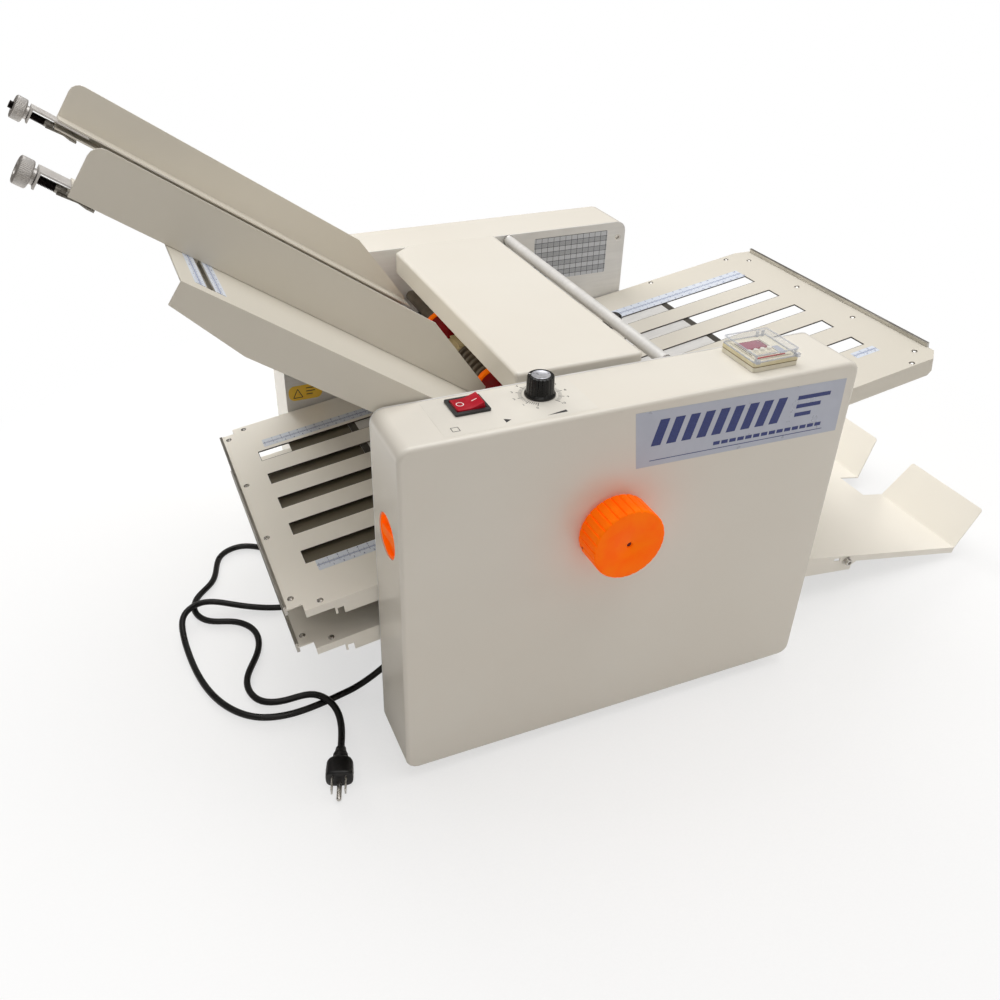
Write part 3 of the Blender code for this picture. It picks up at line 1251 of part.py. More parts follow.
def add_counter():
    bottom = COVER_TOP + GAP
    frame = move(COUNTER_X, COUNTER_Y, bottom)
    outline = centred_outline(COUNTER_LENGTH, COUNTER_WIDTH, COUNTER_CORNER)
    box = extruded(outline, 0, COUNTER_HEIGHT, frame)
    margin = 2 * COUNTER_PANEL_MARGIN
    panel_outline = centred_outline(COUNTER_LENGTH - margin, COUNTER_WIDTH - margin, 0)
    panel_top = COUNTER_HEIGHT + COUNTER_PANEL_RISE
    panel = extruded(panel_outline, COUNTER_HEIGHT / 2, panel_top, frame)
    buttons = [(BUTTON_FIRST_X + index * BUTTON_PITCH, BUTTON_Y) for index in range(BUTTON_COUNT)]
    well_floor = bottom + panel_top - BUTTON_DEPTH - BUTTON_TRAVEL - GAP
    above = bottom + panel_top + OVERRUN
    wells = [rod(well_floor, above, BUTTON_RADIUS + GAP, SMALL_SIDES, move(x, y)) for x, y in buttons]
    node("counter_body", cut(join(box, panel), *wells), "cream_plastic")
    for index, (x, y) in enumerate(buttons, 1):
        top = bottom + panel_top
        solid = rod(top - BUTTON_DEPTH, top + BUTTON_RISE, BUTTON_RADIUS, SMALL_SIDES, move(x, y))
        node(f"counter_button_{index}", solid, "white_plastic", (x, y, top))
    lid_bottom = bottom + COUNTER_HEIGHT + GAP
    lid = shell(outline, LID_WALL, LID_FILLET, LID_HEIGHT, move(COUNTER_X, COUNTER_Y, lid_bottom))
    hinge = (COUNTER_X, COUNTER_Y + COUNTER_WIDTH / 2, lid_bottom)
    node("counter_lid", lid, "clear_plastic", hinge)


# Cord

def smooth_route(points, step):
    """Points at an even step along the natural cubic spline through the route."""
    points = np.array(points)
    lengths = np.linalg.norm(np.diff(points, axis=0), axis=1)
    knots = np.concatenate(([0], np.cumsum(lengths)))
    count = len(points)
    system = np.eye(count)
    slopes = np.zeros((count, 3))
    for i in range(1, count - 1):
        before, after = lengths[i - 1], lengths[i]
        system[i, i - 1:i + 2] = before, 2 * (before + after), after
        slopes[i] = 6 * ((points[i + 1] - points[i]) / after - (points[i] - points[i - 1]) / before)
    curvature = np.linalg.solve(system, slopes)
    fine = []
    for i, span in enumerate(lengths):
        for t in np.linspace(0, span, CORD_SAMPLES, endpoint=False):
            left, right = span - t, t
            bend = (curvature[i] * left ** 3 + curvature[i + 1] * right ** 3) / (6 * span)
            start = (points[i] / span - curvature[i] * span / 6) * left
            fine.append(bend + start + (points[i + 1] / span - curvature[i + 1] * span / 6) * right)
    fine.append(points[-1])
    fine = np.array(fine)
    travelled = np.concatenate(([0], np.cumsum(np.linalg.norm(np.diff(fine, axis=0), axis=1))))
    stops = np.linspace(0, travelled[-1], round(travelled[-1] / step) + 1)
    return np.column_stack([np.interp(stops, travelled, fine[:, axis]) for axis in range(3)])


def add_cord():
    curve = bpy.data.curves.new("power_cord", "CURVE")
    curve.dimensions = "3D"
    curve.bevel_depth = CORD_RADIUS
    curve.bevel_resolution = CORD_SIDES_RESOLUTION
    curve.use_fill_caps = True
    route = smooth_route(CORD_ROUTE, CORD_STEP)
    spline = curve.splines.new("POLY")
    spline.points.add(len(route) - 1)
    for point, (x, y, z) in zip(spline.points, route):
        point.co = (x, y, max(z, CORD_RADIUS), 1)
    curve.materials.append(FINISH["black_rubber"])
    cord = bpy.data.objects.new("power_cord", curve)
    bpy.context.collection.objects.link(cord)
    cord.parent = MACHINE


def add_strain_relief():
    start = BASE_LEFT + GAP
    profile = [
        (start, RELIEF_COLLAR_RADIUS), (start + RELIEF_COLLAR, RELIEF_COLLAR_RADIUS),
        (start + RELIEF_COLLAR, RELIEF_ROOT_RADIUS),
        (start + RELIEF_COLLAR + RELIEF_LENGTH - GAP, RELIEF_TIP_RADIUS),
    ]
    frame = move(0, RELIEF_Y, RELIEF_HEIGHT) @ Matrix.Rotation(math.radians(-90), 4, "Y")
    node("strain_relief", turned(profile, SMALL_SIDES, frame), "black_rubber")


def add_plug():
    """A three-pin plug lying on the floor, its X axis along its heading."""
    heading = math.atan2(PLUG_HEADING[1], PLUG_HEADING[0])
    end = Vector(CORD_ROUTE[-1])
    frame = move(end.x, end.y, PLUG_HEIGHT) @ Matrix.Rotation(heading, 4, "Z") @ move(GAP) @ ACROSS
    rings = []
    for along, half_width, half_height in PLUG_SECTIONS:
        corners = rectangle(-half_width, -half_height, half_width, half_height)
        outline = rounded(corners, PLUG_CORNER_SHARE * half_height)
        rings.append([(y, z, along) for y, z in outline])
    body = loft(rings, frame)
    face = PLUG_SECTIONS[-1][0]
    pins = []
    for side in (-1, 1):
        left = side * BLADE_OFFSET - BLADE_THICKNESS / 2
        low = BLADE_RISE - BLADE_WIDTH / 2
        blade = rectangle(left, low, left + BLADE_THICKNESS, low + BLADE_WIDTH)
        pins.append(extruded(blade, face - OVERRUN, face + BLADE_LENGTH, frame))
    earth = circle(EARTH_PIN_RADIUS, SMALL_SIDES, 0, -EARTH_PIN_DROP)
    pins.append(extruded(earth, face - OVERRUN, face + EARTH_PIN_LENGTH, frame))
    node("power_plug", join(body, *pins), "black_rubber")


def centre_machine():
    """Put the machine's empty so that the middle of all but the cord is over the origin."""
    corners = []
    for item in MACHINE.children:
        if item.name not in ("power_cord", "power_plug"):
            corners += [item.location + Vector(corner) for corner in item.bound_box]
    for axis in (0, 1):
        values = [corner[axis] for corner in corners]
        MACHINE.location[axis] = -(min(values) + max(values)) / 2


# Frames and places worked out from the sizes above

TABLE = sloped(TRAYS_X, TABLE_HEIGHT, TABLE_SLOPE)
UPPER_LEFT = sloped(TRAYS_X, LEFT_HEIGHT, LEFT_SLOPE)
LOWER_LEFT = UPPER_LEFT @ move(0, 0, -LEFT_TRAY_SPACING)
RIGHT = sloped(RIGHT_X, RIGHT_HEIGHT, RIGHT_SLOPE)
EXIT = sloped(EXIT_X, EXIT_HEIGHT, EXIT_SLOPE)
EXTENSION = EXIT @ move(0, 0, -SHEET - GAP)
BOLT_HOLE = (COVER_END - BOLT_HOLE_INSET, COVER_TOP - BOLT_HOLE_DROP, BOLT_HOLE_RADIUS)
HINGE_X = HOOD_RIGHT - HINGE_INSET
HINGE_Z = HOOD_TOP - HOOD_DEPTH + HINGE_RISE

FOLD_PITCH = pitch_radius(FOLD_TEETH)
FOLD_RADIUS = FOLD_PITCH - GAP / 2
GEAR_REAR = PLATE_OUTER + GEAR_STANDOFF
GEAR_FRONT = GEAR_REAR + GEAR_THICKNESS
JOURNAL_END = GEAR_FRONT + JOURNAL_OVERHANG
REAR_JOURNAL_END = PLATE_OUTER + OVERRUN
WHEEL_SHAFT_END = COVER_FACE + WHEEL_STANDOFF + WHEEL_BORE_DEPTH - GAP
MOTOR_REAR = GEAR_FRONT + MOTOR_CLEARANCE
FOLD_AXES = [
    (WHEEL_X, WHEEL_Z),
    tuple(third_corner((WHEEL_X, WHEEL_Z), (FEED_X, FEED_Z), 2 * FOLD_PITCH,
                       FOLD_PITCH + pitch_radius(FEED_TEETH))),
    (WHEEL_X, WHEEL_Z - 2 * FOLD_PITCH),
]
PINION_REACH = FOLD_PITCH + pitch_radius(PINION_TEETH)
MOTOR_AXIS = (
    FOLD_AXES[2][0] + PINION_REACH * math.cos(math.radians(MOTOR_BEARING)),
    FOLD_AXES[2][1] + PINION_REACH * math.sin(math.radians(MOTOR_BEARING)),
)

for old in list(bpy.data.objects):
    bpy.data.objects.remove(old)
FINISH = {name: make_finish(name, *values) for name, values in FINISHES.items()}
MACHINE = bpy.data.objects.new("machine", None)
bpy.context.collection.objects.link(MACHINE)

add_base()
add_feet()
add_covers()
add_side_plate("front_side_plate", -1)
add_side_plate("rear_side_plate", 1, [BOLT_HOLE])
add_fold_rollers()
add_gears()
add_motor()
add_hand_wheel()
add_feed_rollers()
add_separator_pad()
add_hood()
add_tie_rod()
add_feed_table()
add_guide_rail()
add_side_guide("front", -1, FRONT_GUIDE_Y)
add_side_guide("rear", 1, REAR_GUIDE_Y)
add_left_tray("upper_left_tray", UPPER_LEFT)
add_left_tray("lower_left_tray", LOWER_LEFT)
add_right_tray()
add_stop("upper_left_stop", UPPER_LEFT, LEFT_STOP_OUTER, LEFT_STOP_INNER, LEFT_STOP_KNOB)
add_stop("lower_left_stop", LOWER_LEFT, LEFT_STOP_OUTER, LEFT_STOP_INNER, LEFT_STOP_KNOB)
add_stop("right_stop", RIGHT, RIGHT_STOP_INNER, RIGHT_STOP_OUTER, RIGHT_STOP_KNOB)
add_exit_tray()
add_exit_extension()
add_exit_screw()
add_adjuster()
add_switch()
add_speed_knob()
add_counter()
add_strain_relief()
add_cord()
add_plug()
centre_machine()
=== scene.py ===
"""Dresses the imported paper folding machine: finishes, printed scales, screws, threads,
the counter under its clear lid, the cord, and the photograph's camera.

Lengths are in millimetres from the middle of the covers, and SHIFT takes them to the
row frame; the camera, the lamps and the materials are in metres. A shape is a pair:
an array of points in metres and a list of faces.
"""
import json
import math

import bmesh
import bpy
import numpy as np
from mathutils import Matrix, Vector


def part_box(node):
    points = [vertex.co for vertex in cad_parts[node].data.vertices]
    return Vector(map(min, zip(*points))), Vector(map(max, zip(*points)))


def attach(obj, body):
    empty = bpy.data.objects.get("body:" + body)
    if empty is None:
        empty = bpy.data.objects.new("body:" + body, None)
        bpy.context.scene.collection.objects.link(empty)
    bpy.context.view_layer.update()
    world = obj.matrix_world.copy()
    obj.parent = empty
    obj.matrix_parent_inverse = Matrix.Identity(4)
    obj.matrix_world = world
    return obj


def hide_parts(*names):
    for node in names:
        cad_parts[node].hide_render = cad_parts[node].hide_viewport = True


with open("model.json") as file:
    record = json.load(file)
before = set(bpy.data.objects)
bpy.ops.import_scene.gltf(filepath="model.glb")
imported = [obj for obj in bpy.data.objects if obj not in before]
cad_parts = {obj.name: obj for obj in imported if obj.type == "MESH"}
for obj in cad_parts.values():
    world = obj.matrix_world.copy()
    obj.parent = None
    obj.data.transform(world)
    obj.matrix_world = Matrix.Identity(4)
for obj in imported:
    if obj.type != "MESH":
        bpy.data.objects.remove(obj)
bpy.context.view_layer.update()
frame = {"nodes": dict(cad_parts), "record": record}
BODY_OF = {
    node: body
    for body, members in frame["record"]["behaviour"]["bodies"].items()
    for node in members
}

MM = 0.001
SOFT_ANGLE = 35  # degrees, flatter edges are shaded smooth
PRINT = 0.06  # how thick printed ink stands


# Places

def at(x=0.0, y=0.0, z=0.0):
    return Matrix.Translation((x * MM, y * MM, z * MM))


def turn(degrees, axis):
    return Matrix.Rotation(math.radians(degrees), 4, axis)


def sloped(x, z, rise):
    """A frame on the machine whose X axis climbs to the right by rise degrees."""
    return SHIFT @ at(x, 0, z) @ turn(-rise, "Y")


SHIFT = at(-60.7417, 15.25, 0)
LEFT_X, LEFT_RISE, LEFT_SPACING = -219, 8.42, 47
RIGHT_X, RIGHT_RISE = 297.5, 9.39
TABLE = sloped(LEFT_X, 400.2, -34.5)
UPPER_LEFT = sloped(LEFT_X, 181.7, LEFT_RISE)
LOWER_LEFT = UPPER_LEFT @ at(0, 0, -LEFT_SPACING)
LEFT_TRAYS = (("upper_left_tray", UPPER_LEFT), ("lower_left_tray", LOWER_LEFT))
RIGHT = sloped(RIGHT_X, 286.6, RIGHT_RISE)
EXIT = sloped(297, 66, -11.45)
TOWARDS_FRONT = turn(90, "X")  # a local Z that points at the viewer's side, -Y
TOWARDS_REAR = turn(-90, "X")
TOWARDS_RIGHT = turn(90, "Y")
TOWARDS_LEFT = turn(-90, "Y")
COVER_TOP = 363
COVER_FACE = -244.5
REAR_PLATE = 174.5
SLOT_ROWS, SLOT_PITCH, SLOT_WIDTH = 5, 49, 21


def show(name, data):
    made = bpy.data.objects.new(name, data)
    bpy.context.scene.collection.objects.link(made)
    return made


# Camera, as the photograph was taken

CAMERA_PLACE = (-0.4634, -0.8108, 0.7329)
CAMERA_RIGHT = (0.9222, -0.3863, 0.0175)
CAMERA_UP = (0.1962, 0.5063, 0.8397)
CAMERA_BACK = (-0.3332, -0.7710, 0.5427)


def add_camera():
    lens = bpy.data.cameras.new("camera")
    lens.sensor_width = 36
    lens.lens = 34.475
    lens.shift_x = 0.0203
    lens.shift_y = -0.0210
    lens.clip_start = 0.01
    lens.clip_end = 50
    camera = show("camera", lens)
    axes = Matrix((CAMERA_RIGHT, CAMERA_UP, CAMERA_BACK)).transposed()
    turned_so = axes.to_quaternion().to_matrix().to_4x4()
    camera.matrix_world = Matrix.Translation(CAMERA_PLACE) @ turned_so
    bpy.context.scene.camera = camera


# Shader nodes

def colour(text):
    """An sRGB hex value as linear red, green, blue and alpha."""
    parts = [int(text[i:i + 2], 16) / 255 for i in (0, 2, 4)]
    return [p / 12.92 if p <= 0.04045 else ((p + 0.055) / 1.055) ** 2.4 for p in parts] + [1.0]


def fill(tree, node, inputs):
    """Gives the node's inputs their values or links."""
    for socket, value in inputs.items():
        if isinstance(value, bpy.types.NodeSocket):
            tree.links.new(value, node.inputs[socket])
        else:
            node.inputs[socket].default_value = value


def add(tree, kind, inputs, **settings):
    """One shader node, with its settings and with values or links for its inputs."""
    made = tree.nodes.new("ShaderNode" + kind)
    for name, value in settings.items():
        setattr(made, name, value)
    fill(tree, made, inputs)
    return made


def new_material(name, recipe, *values):
    """A material of one Principled shader, whose inputs a recipe gives from the tree, the
    object's own coordinates and its values."""
    material = bpy.data.materials.new(name)
    material.use_nodes = True
    tree = material.node_tree
    place = add(tree, "TexCoord", {}).outputs["Object"]
    fill(tree, tree.nodes["Principled BSDF"], recipe(tree, place, *values))
    return material


def noise(tree, place, scale, detail, **more):
    given = {"Vector": place, "Scale": scale, "Detail": detail, **more}
    return add(tree, "TexNoise", given).outputs["Fac"]


def number(tree, operation, one, two=0.0):
    return add(tree, "Math", {0: one, 1: two}, operation=operation).outputs[0]


def blend(tree, factor, one, two):
    return add(tree, "Mix", {0: factor, 6: one, 7: two}, data_type="RGBA").outputs[2]


def spread(tree, value, low, high, start, end):
    """value between low and high taken to between start and end."""
    given = {"Value": value, "From Min": low, "From Max": high, "To Min": start, "To Max": end}
    return add(tree, "MapRange", given).outputs["Result"]


def two_tones(tree, value, low, high, hex_one, hex_two):
    """The first colour where value is low, drifting to the second where it is high."""
    return blend(tree, spread(tree, value, low, high, 0.0, 1.0), colour(hex_one), colour(hex_two))


def bumped(tree, height, strength, distance=0.0001):
    given = {"Height": height, "Strength": strength, "Distance": distance}
    return add(tree, "Bump", given).outputs["Normal"]


def enamel(tree, place, hex_one, hex_two, rough, peel=0.03):
    """Stoved enamel on sheet steel: a soft gloss, a faint orange peel of about 4 mm, a
    slow drift of tone, and thin smudges that take the gloss down."""
    smudge = noise(tree, place, 38.0, 6.0, Roughness=0.62)
    return {
        "Base Color": two_tones(tree, noise(tree, place, 5.0, 3.0), 0.35, 0.65, hex_one, hex_two),
        "Roughness": spread(tree, smudge, 0.2, 0.8, rough - 0.01, rough + 0.02),
        "Normal": bumped(tree, noise(tree, place, 250.0, 1.0), peel, 0.00005),
        "IOR": 1.5,
    }


def bare_metal(tree, place, hex_one, hex_two, rough, stretch, grain, strength, metallic=1.0):
    """Bare metal with rolling or turning marks: noise drawn out along one axis by
    stretch, with tone and gloss that follow it."""
    drawn = add(tree, "Mapping", {"Vector": place, "Scale": stretch}).outputs["Vector"]
    marks = noise(tree, drawn, grain, 4.0)
    mixed = number(tree, "MULTIPLY", marks, noise(tree, place, 22.0, 5.0))
    return {
        "Base Color": two_tones(tree, mixed, 0.12, 0.42, hex_one, hex_two),
        "Roughness": spread(tree, marks, 0.3, 0.7, rough - 0.06, rough + 0.08),
        "Normal": bumped(tree, marks, strength),
        "Metallic": metallic,
    }


def moulded(tree, place, hex_one, hex_two, rough, grain=1500.0, strength=0.06, coat=0.0,
            ior=1.5, painted_glow=0.0):
    """Moulded plastic or rubber: a fine spark-eroded grain under a tone that hardly
    changes, a little duller where it has been handled. The last value is painted light: a
    share of the tone given back as emission, so that the part glows though it is no lamp."""
    cloud = noise(tree, place, 60.0, 4.0)
    tone = two_tones(tree, cloud, 0.35, 0.65, hex_one, hex_two)
    inputs = {
        "Base Color": tone,
        "Roughness": spread(tree, cloud, 0.3, 0.7, rough - 0.04, rough + 0.06),
        "Normal": bumped(tree, noise(tree, place, grain, 2.0), strength),
        "IOR": ior,
    }
    if coat:
        inputs.update({"Coat Weight": coat, "Coat Roughness": 0.08})
    # painted light: an emission that makes the part glow though it is no lamp
    if painted_glow:
        inputs.update({"Emission Color": tone, "Emission Strength": painted_glow})
    return inputs


def clear_plastic(tree, place, tint, share, rough=0.05):
    """Injection-moulded clear acrylic seen as a thin wall: share of it shows, the rest
    lets what is behind through, with faint hairline wear."""
    wear = spread(tree, noise(tree, place, 140.0, 5.0), 0.45, 0.8, rough, rough + 0.12)
    return {"Roughness": wear, "Base Color": colour(tint), "Alpha": share, "IOR": 1.49}


def ink(tree, place, text, rough=0.5):
    """Screen-printed ink: flat, with a slight mottle where it thins."""
    thin = [min(1.0, c * 1.6 + 0.01) for c in colour(text)[:3]] + [1.0]
    mottle = spread(tree, noise(tree, place, 900.0, 2.0), 0.4, 0.9, 0.0, 0.6)
    return {"Base Color": blend(tree, mottle, colour(text), thin), "Roughness": rough}


def striped(tree, value, width, line):
    """1 on lines of the given width that repeat along value, and 0 between them."""
    part = number(tree, "FRACT", number(tree, "DIVIDE", value, width))
    return number(tree, "LESS_THAN", part, line / width)


def metres_map(tree):
    """The UV layer that has metres along and across, split into its two values."""
    uv = add(tree, "UVMap", {}, uv_map="metres").outputs["UV"]
    split = add(tree, "SeparateXYZ", {"Vector": uv})
    return split.outputs["X"], split.outputs["Y"]


def scale_strip(tree, place):
    """A printed rule on pale foil: a blue centre line with millimetre ticks on both
    sides of it, longer at every fifth and tenth."""
    along, across = metres_map(tree)
    off = number(tree, "ABSOLUTE", across)
    marks = 0.0
    for pitch, line, reach in ((1, 0.22, 1.7), (5, 0.26, 2.6), (10, 0.34, 3.4)):
        ticks = striped(tree, along, pitch * MM, line * MM)
        near = number(tree, "LESS_THAN", off, reach * MM)
        marks = number(tree, "MAXIMUM", marks, number(tree, "MULTIPLY", ticks, near))
    centre = number(tree, "LESS_THAN", off, 0.30 * MM)
    foil = blend(tree, noise(tree, place, 70.0, 3.0), colour("CDD6E6"), colour("E2E7F0"))
    printed = blend(tree, marks, foil, colour("3C4668"))
    lined = blend(tree, centre, printed, colour("5F78B4"))
    return {"Base Color": lined, "Roughness": 0.32}


def ruled_sheet(tree, place):
    """A silver foil label ruled into a plain table: dark lines each 8 mm along and
    6 mm down, with a paler cell between two grey ones."""
    along, down = [number(tree, "ADD", value, 1.0) for value in metres_map(tree)]
    columns = striped(tree, along, 8.0 * MM, 0.5 * MM)
    rows = striped(tree, down, 6.0 * MM, 0.5 * MM)
    pale = striped(tree, down, 12.0 * MM, 6.0 * MM)
    foil = blend(tree, noise(tree, place, 1400.0, 1.0), colour("989BA1"), colour("C0C3C9"))
    rowed = blend(tree, pale, foil, colour("C9CCD2"))
    lined = blend(tree, number(tree, "MAXIMUM", columns, rows), rowed, colour("303238"))
    return {"Base Color": lined, "Metallic": 0.35, "Roughness": 0.42}


# Finishes, each named for what the real one is, or for the painted light or shade that it stands
# for

EVEN = (1, 1, 1)  # marks that run no particular way
FINISHES = (
    # cream stoved enamel, semi-gloss, of the covers and the hood
    (enamel, "cream_enamel", "E8E4DB", "E5E0D6", 0.25),
    # the same enamel made darker as painted shade, on the table, the guides and the right-hand
    # tray
    (enamel, "stone_enamel", "DBD6CB", "D9D4C8", 0.3),
    # and made paler as painted light, on the folding and exit trays that lie in the shade
    (enamel, "pale_enamel", "F5F1E8", "F2EEE5", 0.3),
    # dark olive-grey enamel as painted shade, on the closed sheets under the left trays' slots
    (enamel, "shade_painted_sheet", "6E6757", "6A6353", 0.45),
    # cold-rolled steel plate, lacquered, with rolling marks along the machine
    (bare_metal, "rolled_steel", "E0DFDD", "ECEBE9", 0.45, (0.08, 1, 1), 260.0, 0.02, 0.3),
    # bright zinc plate on the screws, the clamp bolt and the plug's pins
    (bare_metal, "zinc_plate", "C4C2BE", "EAE7E2", 0.24, EVEN, 500.0, 0.05),
    # extruded aluminium, die lines along its length, which is the machine's width
    (bare_metal, "drawn_aluminium", "B3B1AB", "DAD7D0", 0.32, (1, 0.04, 1), 900.0, 0.08),
    # knurled and tumbled aluminium of the thumb nuts, dull and pale
    (bare_metal, "tumbled_aluminium", "A8A5A2", "E2DFDC", 0.45, EVEN, 1300.0, 0.35),
    # chemically blacked steel of the threaded rods and the motor
    (bare_metal, "blacked_steel", "151010", "2E2624", 0.4, EVEN, 700.0, 0.1, 0.8),
    # turned steel of the rods' tips, their hooks and the pinion
    (bare_metal, "machined_steel", "77746E", "A5A19A", 0.3, EVEN, 600.0, 0.1),
    # grey painted strap steel
    (bare_metal, "grey_strap", "C9C6C3", "D8D5D2", 0.38, EVEN, 90.0, 0.0, 0.3),
    # printed silver foil, and the bright cap of the speed knob
    (bare_metal, "silver_foil", "B6BBCA", "BFC4D2", 0.32, EVEN, 60.0, 0.0, 0.2),
    (bare_metal, "silver_cap", "C9CCD6", "F2F3F8", 0.3, EVEN, 300.0, 0.05, 0.7),
    # orange ABS, moulded, brightened by a painted glow that is no lamp, and a dark copy of it as
    # painted shade inside its holes
    (moulded, "orange_abs", "FF6400", "FF7204", 0.42, 1500.0, 0.02, 0.0, 1.16, 0.26),
    (moulded, "bore_painted_shade", "5A1606", "6A1C08", 0.6),
    # red, black and grey ABS of the switch, the speed knob and the stops' knobs
    (moulded, "red_abs", "BC1029", "A90D22", 0.3, 1800.0, 0.02, 0.0, 1.3),
    (moulded, "black_abs", "0D0D0D", "161616", 0.27, 1800.0, 0.05),
    (moulded, "grey_abs", "1D1E1F", "2A2B2C", 0.42, 1500.0, 0.1),
    # cast nylon: ivory of the toothed wheel, white of the gears, and the same ivory made darker as
    # painted shade on the ribbed sleeve
    (moulded, "ivory_nylon", "D8C9A0", "CBBB90", 0.45),
    (moulded, "white_nylon", "F0EEE6", "E4E1D8", 0.42),
    (moulded, "ivory_nylon_painted_shade", "766A59", "5F5648", 0.4),
    # the counter's case, its upper band, its joint line, and its red window
    (moulded, "pale_abs", "EDE8D8", "E3DDCA", 0.4),
    (moulded, "straw_abs", "E8DFBE", "DED2AC", 0.35),
    (moulded, "olive_abs", "7D6A33", "6B5A2A", 0.4),
    (moulded, "smoked_red", "7E1428", "8E1C32", 0.12, 1800.0, 0.0, 0.6),
    (moulded, "display_red", "9C4A60", "A6556A", 0.1, 1800.0, 0.0, 0.5),
    # natural rubber tyres, ground, dark red, and black rubber of rollers, pad and feet
    (moulded, "red_rubber", "7C0408", "94060C", 0.5, 900.0, 0.25, 0.0, 1.2),
    (moulded, "black_rubber", "141313", "201E1D", 0.7, 900.0, 0.3),
    # soft PVC of the cord and plug, slightly shiny
    (moulded, "cord_pvc", "0D0D0E", "161618", 0.3, 700.0, 0.08),
    # printed polyester film round the switch and the dial, and of the yellow label
    (moulded, "control_film", "E4E0D7", "E6E2D9", 0.14, 900.0, 0.0),
    (moulded, "yellow_film", "FFD046", "FFD650", 0.35, 900.0, 0.0),
    # cut edges of sheet that the paint leaves bare, made darker as painted shade; also painted
    # shade on the stops' rims
    (moulded, "bare_edge_painted_shade", "3B3833", "4A463F", 0.5),
    # the counter's lid, and its thicker corners, rims and lugs, paler partly for the thicker
    # plastic and partly as painted highlight
    (clear_plastic, "clear_acrylic", "E4E8EE", 0.09),
    (clear_plastic, "clear_edge", "D3D8E2", 0.42),
    (scale_strip, "scale_foil"),
    (ruled_sheet, "ruled_foil"),
    (ink, "black_ink", "2B2A2C"),
    (ink, "navy_ink", "1F2F74", 0.35),
    (ink, "white_ink", "F2F0EE"),
)
FINISH = {name: new_material(name, recipe, *values) for recipe, name, *values in FINISHES}


# Shapes: each returns an array of points and a list of faces

def joined(*shapes):
    points = []
    faces = []
    start = 0
    for some, loops in shapes:
        points.append(some)
        faces += [tuple(int(i) + start for i in loop) for loop in loops]
        start += len(some)
    return np.vstack(points), faces


def put(shape, matrix):
    points, faces = shape
    held = np.array(matrix)
    return points @ held[:3, :3].T + held[:3, 3], faces


def loft(rings, closed=False):
    """Quads between rings of equal count, each ring counterclockwise seen from the next
    one's side; the first and last rings are filled unless the loft is closed."""
    rings = np.asarray(rings, float) * MM
    count, around = rings.shape[:2]
    row = np.arange(count if closed else count - 1)[:, None] * around
    column = np.arange(around)[None, :]
    beside = (column + 1) % around
    above = (row + around) % (count * around)
    quads = np.stack([row + column, row + beside, above + beside, above + column], -1)
    faces = [tuple(q) for q in quads.reshape(-1, 4)]
    if not closed:
        faces.append(tuple(range(around - 1, -1, -1)))
        faces.append(tuple(range((count - 1) * around, count * around)))
    return rings.reshape(-1, 3), faces


def level(outline, height):
    """An outline of the XY plane as a ring of points at a height."""
    return np.column_stack([outline, np.full(len(outline), height)])


def spun(levels, angle, depth=0.0, closed=False):
    """Rings from levels of (height, r, keep): at each angle the radius is r less keep
    times the depth there."""
    way = np.column_stack([np.cos(angle), np.sin(angle)])
    rings = [level(way * np.atleast_1d(r - depth * keep)[:, None], height)
             for height, r, keep in levels]
    return loft(rings, closed)


def turned(profile, around=64, closed=False):
    """A profile of (height, radius) turned round Z. A closed one, counterclockwise with
    radius across and height up, gives a ring, bush or washer."""
    angle = np.linspace(0, 2 * np.pi, around, endpoint=False)
    return spun([(height, max(radius, 0.001), 0.0) for height, radius in profile], angle,
                closed=closed)


def arc(x, y, radius, start, end, steps=5):
    """Points on an arc, as (x, y), from start to end in degrees."""
    angle = np.radians(np.linspace(start, end, steps))
    return [(x + radius * math.cos(a), y + radius * math.sin(a)) for a in angle]


def quarter(radius, steps):
    """How far inwards and up a rounded edge goes: r(1 - cos a) and r sin a."""
    rise = np.radians(np.linspace(0, 90, steps))
    return list(zip(radius * (1 - np.cos(rise)), radius * np.sin(rise)))


def rounded_rectangle(length, width, radius, steps=5):
    x, y = length / 2 - radius, width / 2 - radius
    corners = ((x, y, 0), (-x, y, 90), (-x, -y, 180), (x, -y, 270))
    return np.array([p for cx, cy, a in corners for p in arc(cx, cy, radius, a, a + 90, steps)])


def drawn_in(outline, distance):
    """The outline with every edge moved inwards: each point goes along the sum of its
    two edges' normals, over one plus their cosine."""
    ahead = np.roll(outline, -1, 0) - outline
    ahead /= np.linalg.norm(ahead, axis=1)[:, None]
    out = np.stack([ahead[:, 1], -ahead[:, 0]], -1)
    before = np.roll(out, 1, 0)
    cosine = (out * before).sum(1)[:, None]
    return outline - distance * (out + before) / (1 + cosine)


def block(outline, low, high, edge=0.3, steps=3, foot=0.0):
    """An outline raised from low to high with its top edge rounded, and its bottom edge
    too by foot."""
    outline = np.asarray(outline, float)
    levels = [(inwards, low + foot - up) for inwards, up in reversed(quarter(foot, steps))] \
        if foot else [(0.0, low)]
    levels += [(inwards, high - edge + up) for inwards, up in quarter(edge, steps)] \
        if edge else [(0.0, high)]
    return loft([level(drawn_in(outline, inwards) if inwards else outline, height)
                 for inwards, height in levels])


def slab(length, width, radius, low, high, edge=0.3, steps=5):
    """A rounded rectangle raised from low to high, with its top edge rounded."""
    return block(rounded_rectangle(length, width, radius, steps), low, high, edge)


def frame_band(outline, width, low, high):
    """A low wall that follows an outline, width thick, outside it."""
    outer = drawn_in(outline, -width)
    return loft([level(outline, low), level(outer, low), level(outer, high),
                 level(outline, high)], closed=True)


def printed(outline):
    """A flat mark of ink."""
    return block(outline, 0, PRINT, 0)


def bar(start, end, width):
    """A flat printed line between two points of the XY plane."""
    start, end = np.array(start, float), np.array(end, float)
    way = (end - start) / np.linalg.norm(end - start)
    side = np.array([-way[1], way[0]]) * width / 2
    return printed([start - side, end - side, end + side, start + side])


def outlined(corners, width):
    """Printed lines from each corner to the next."""
    return [bar(start, end, width) for start, end in zip(corners, corners[1:])]


GLYPHS = {}
GLYPH_EXTRUDE = 0.01  # in the letters' own unit, to each side


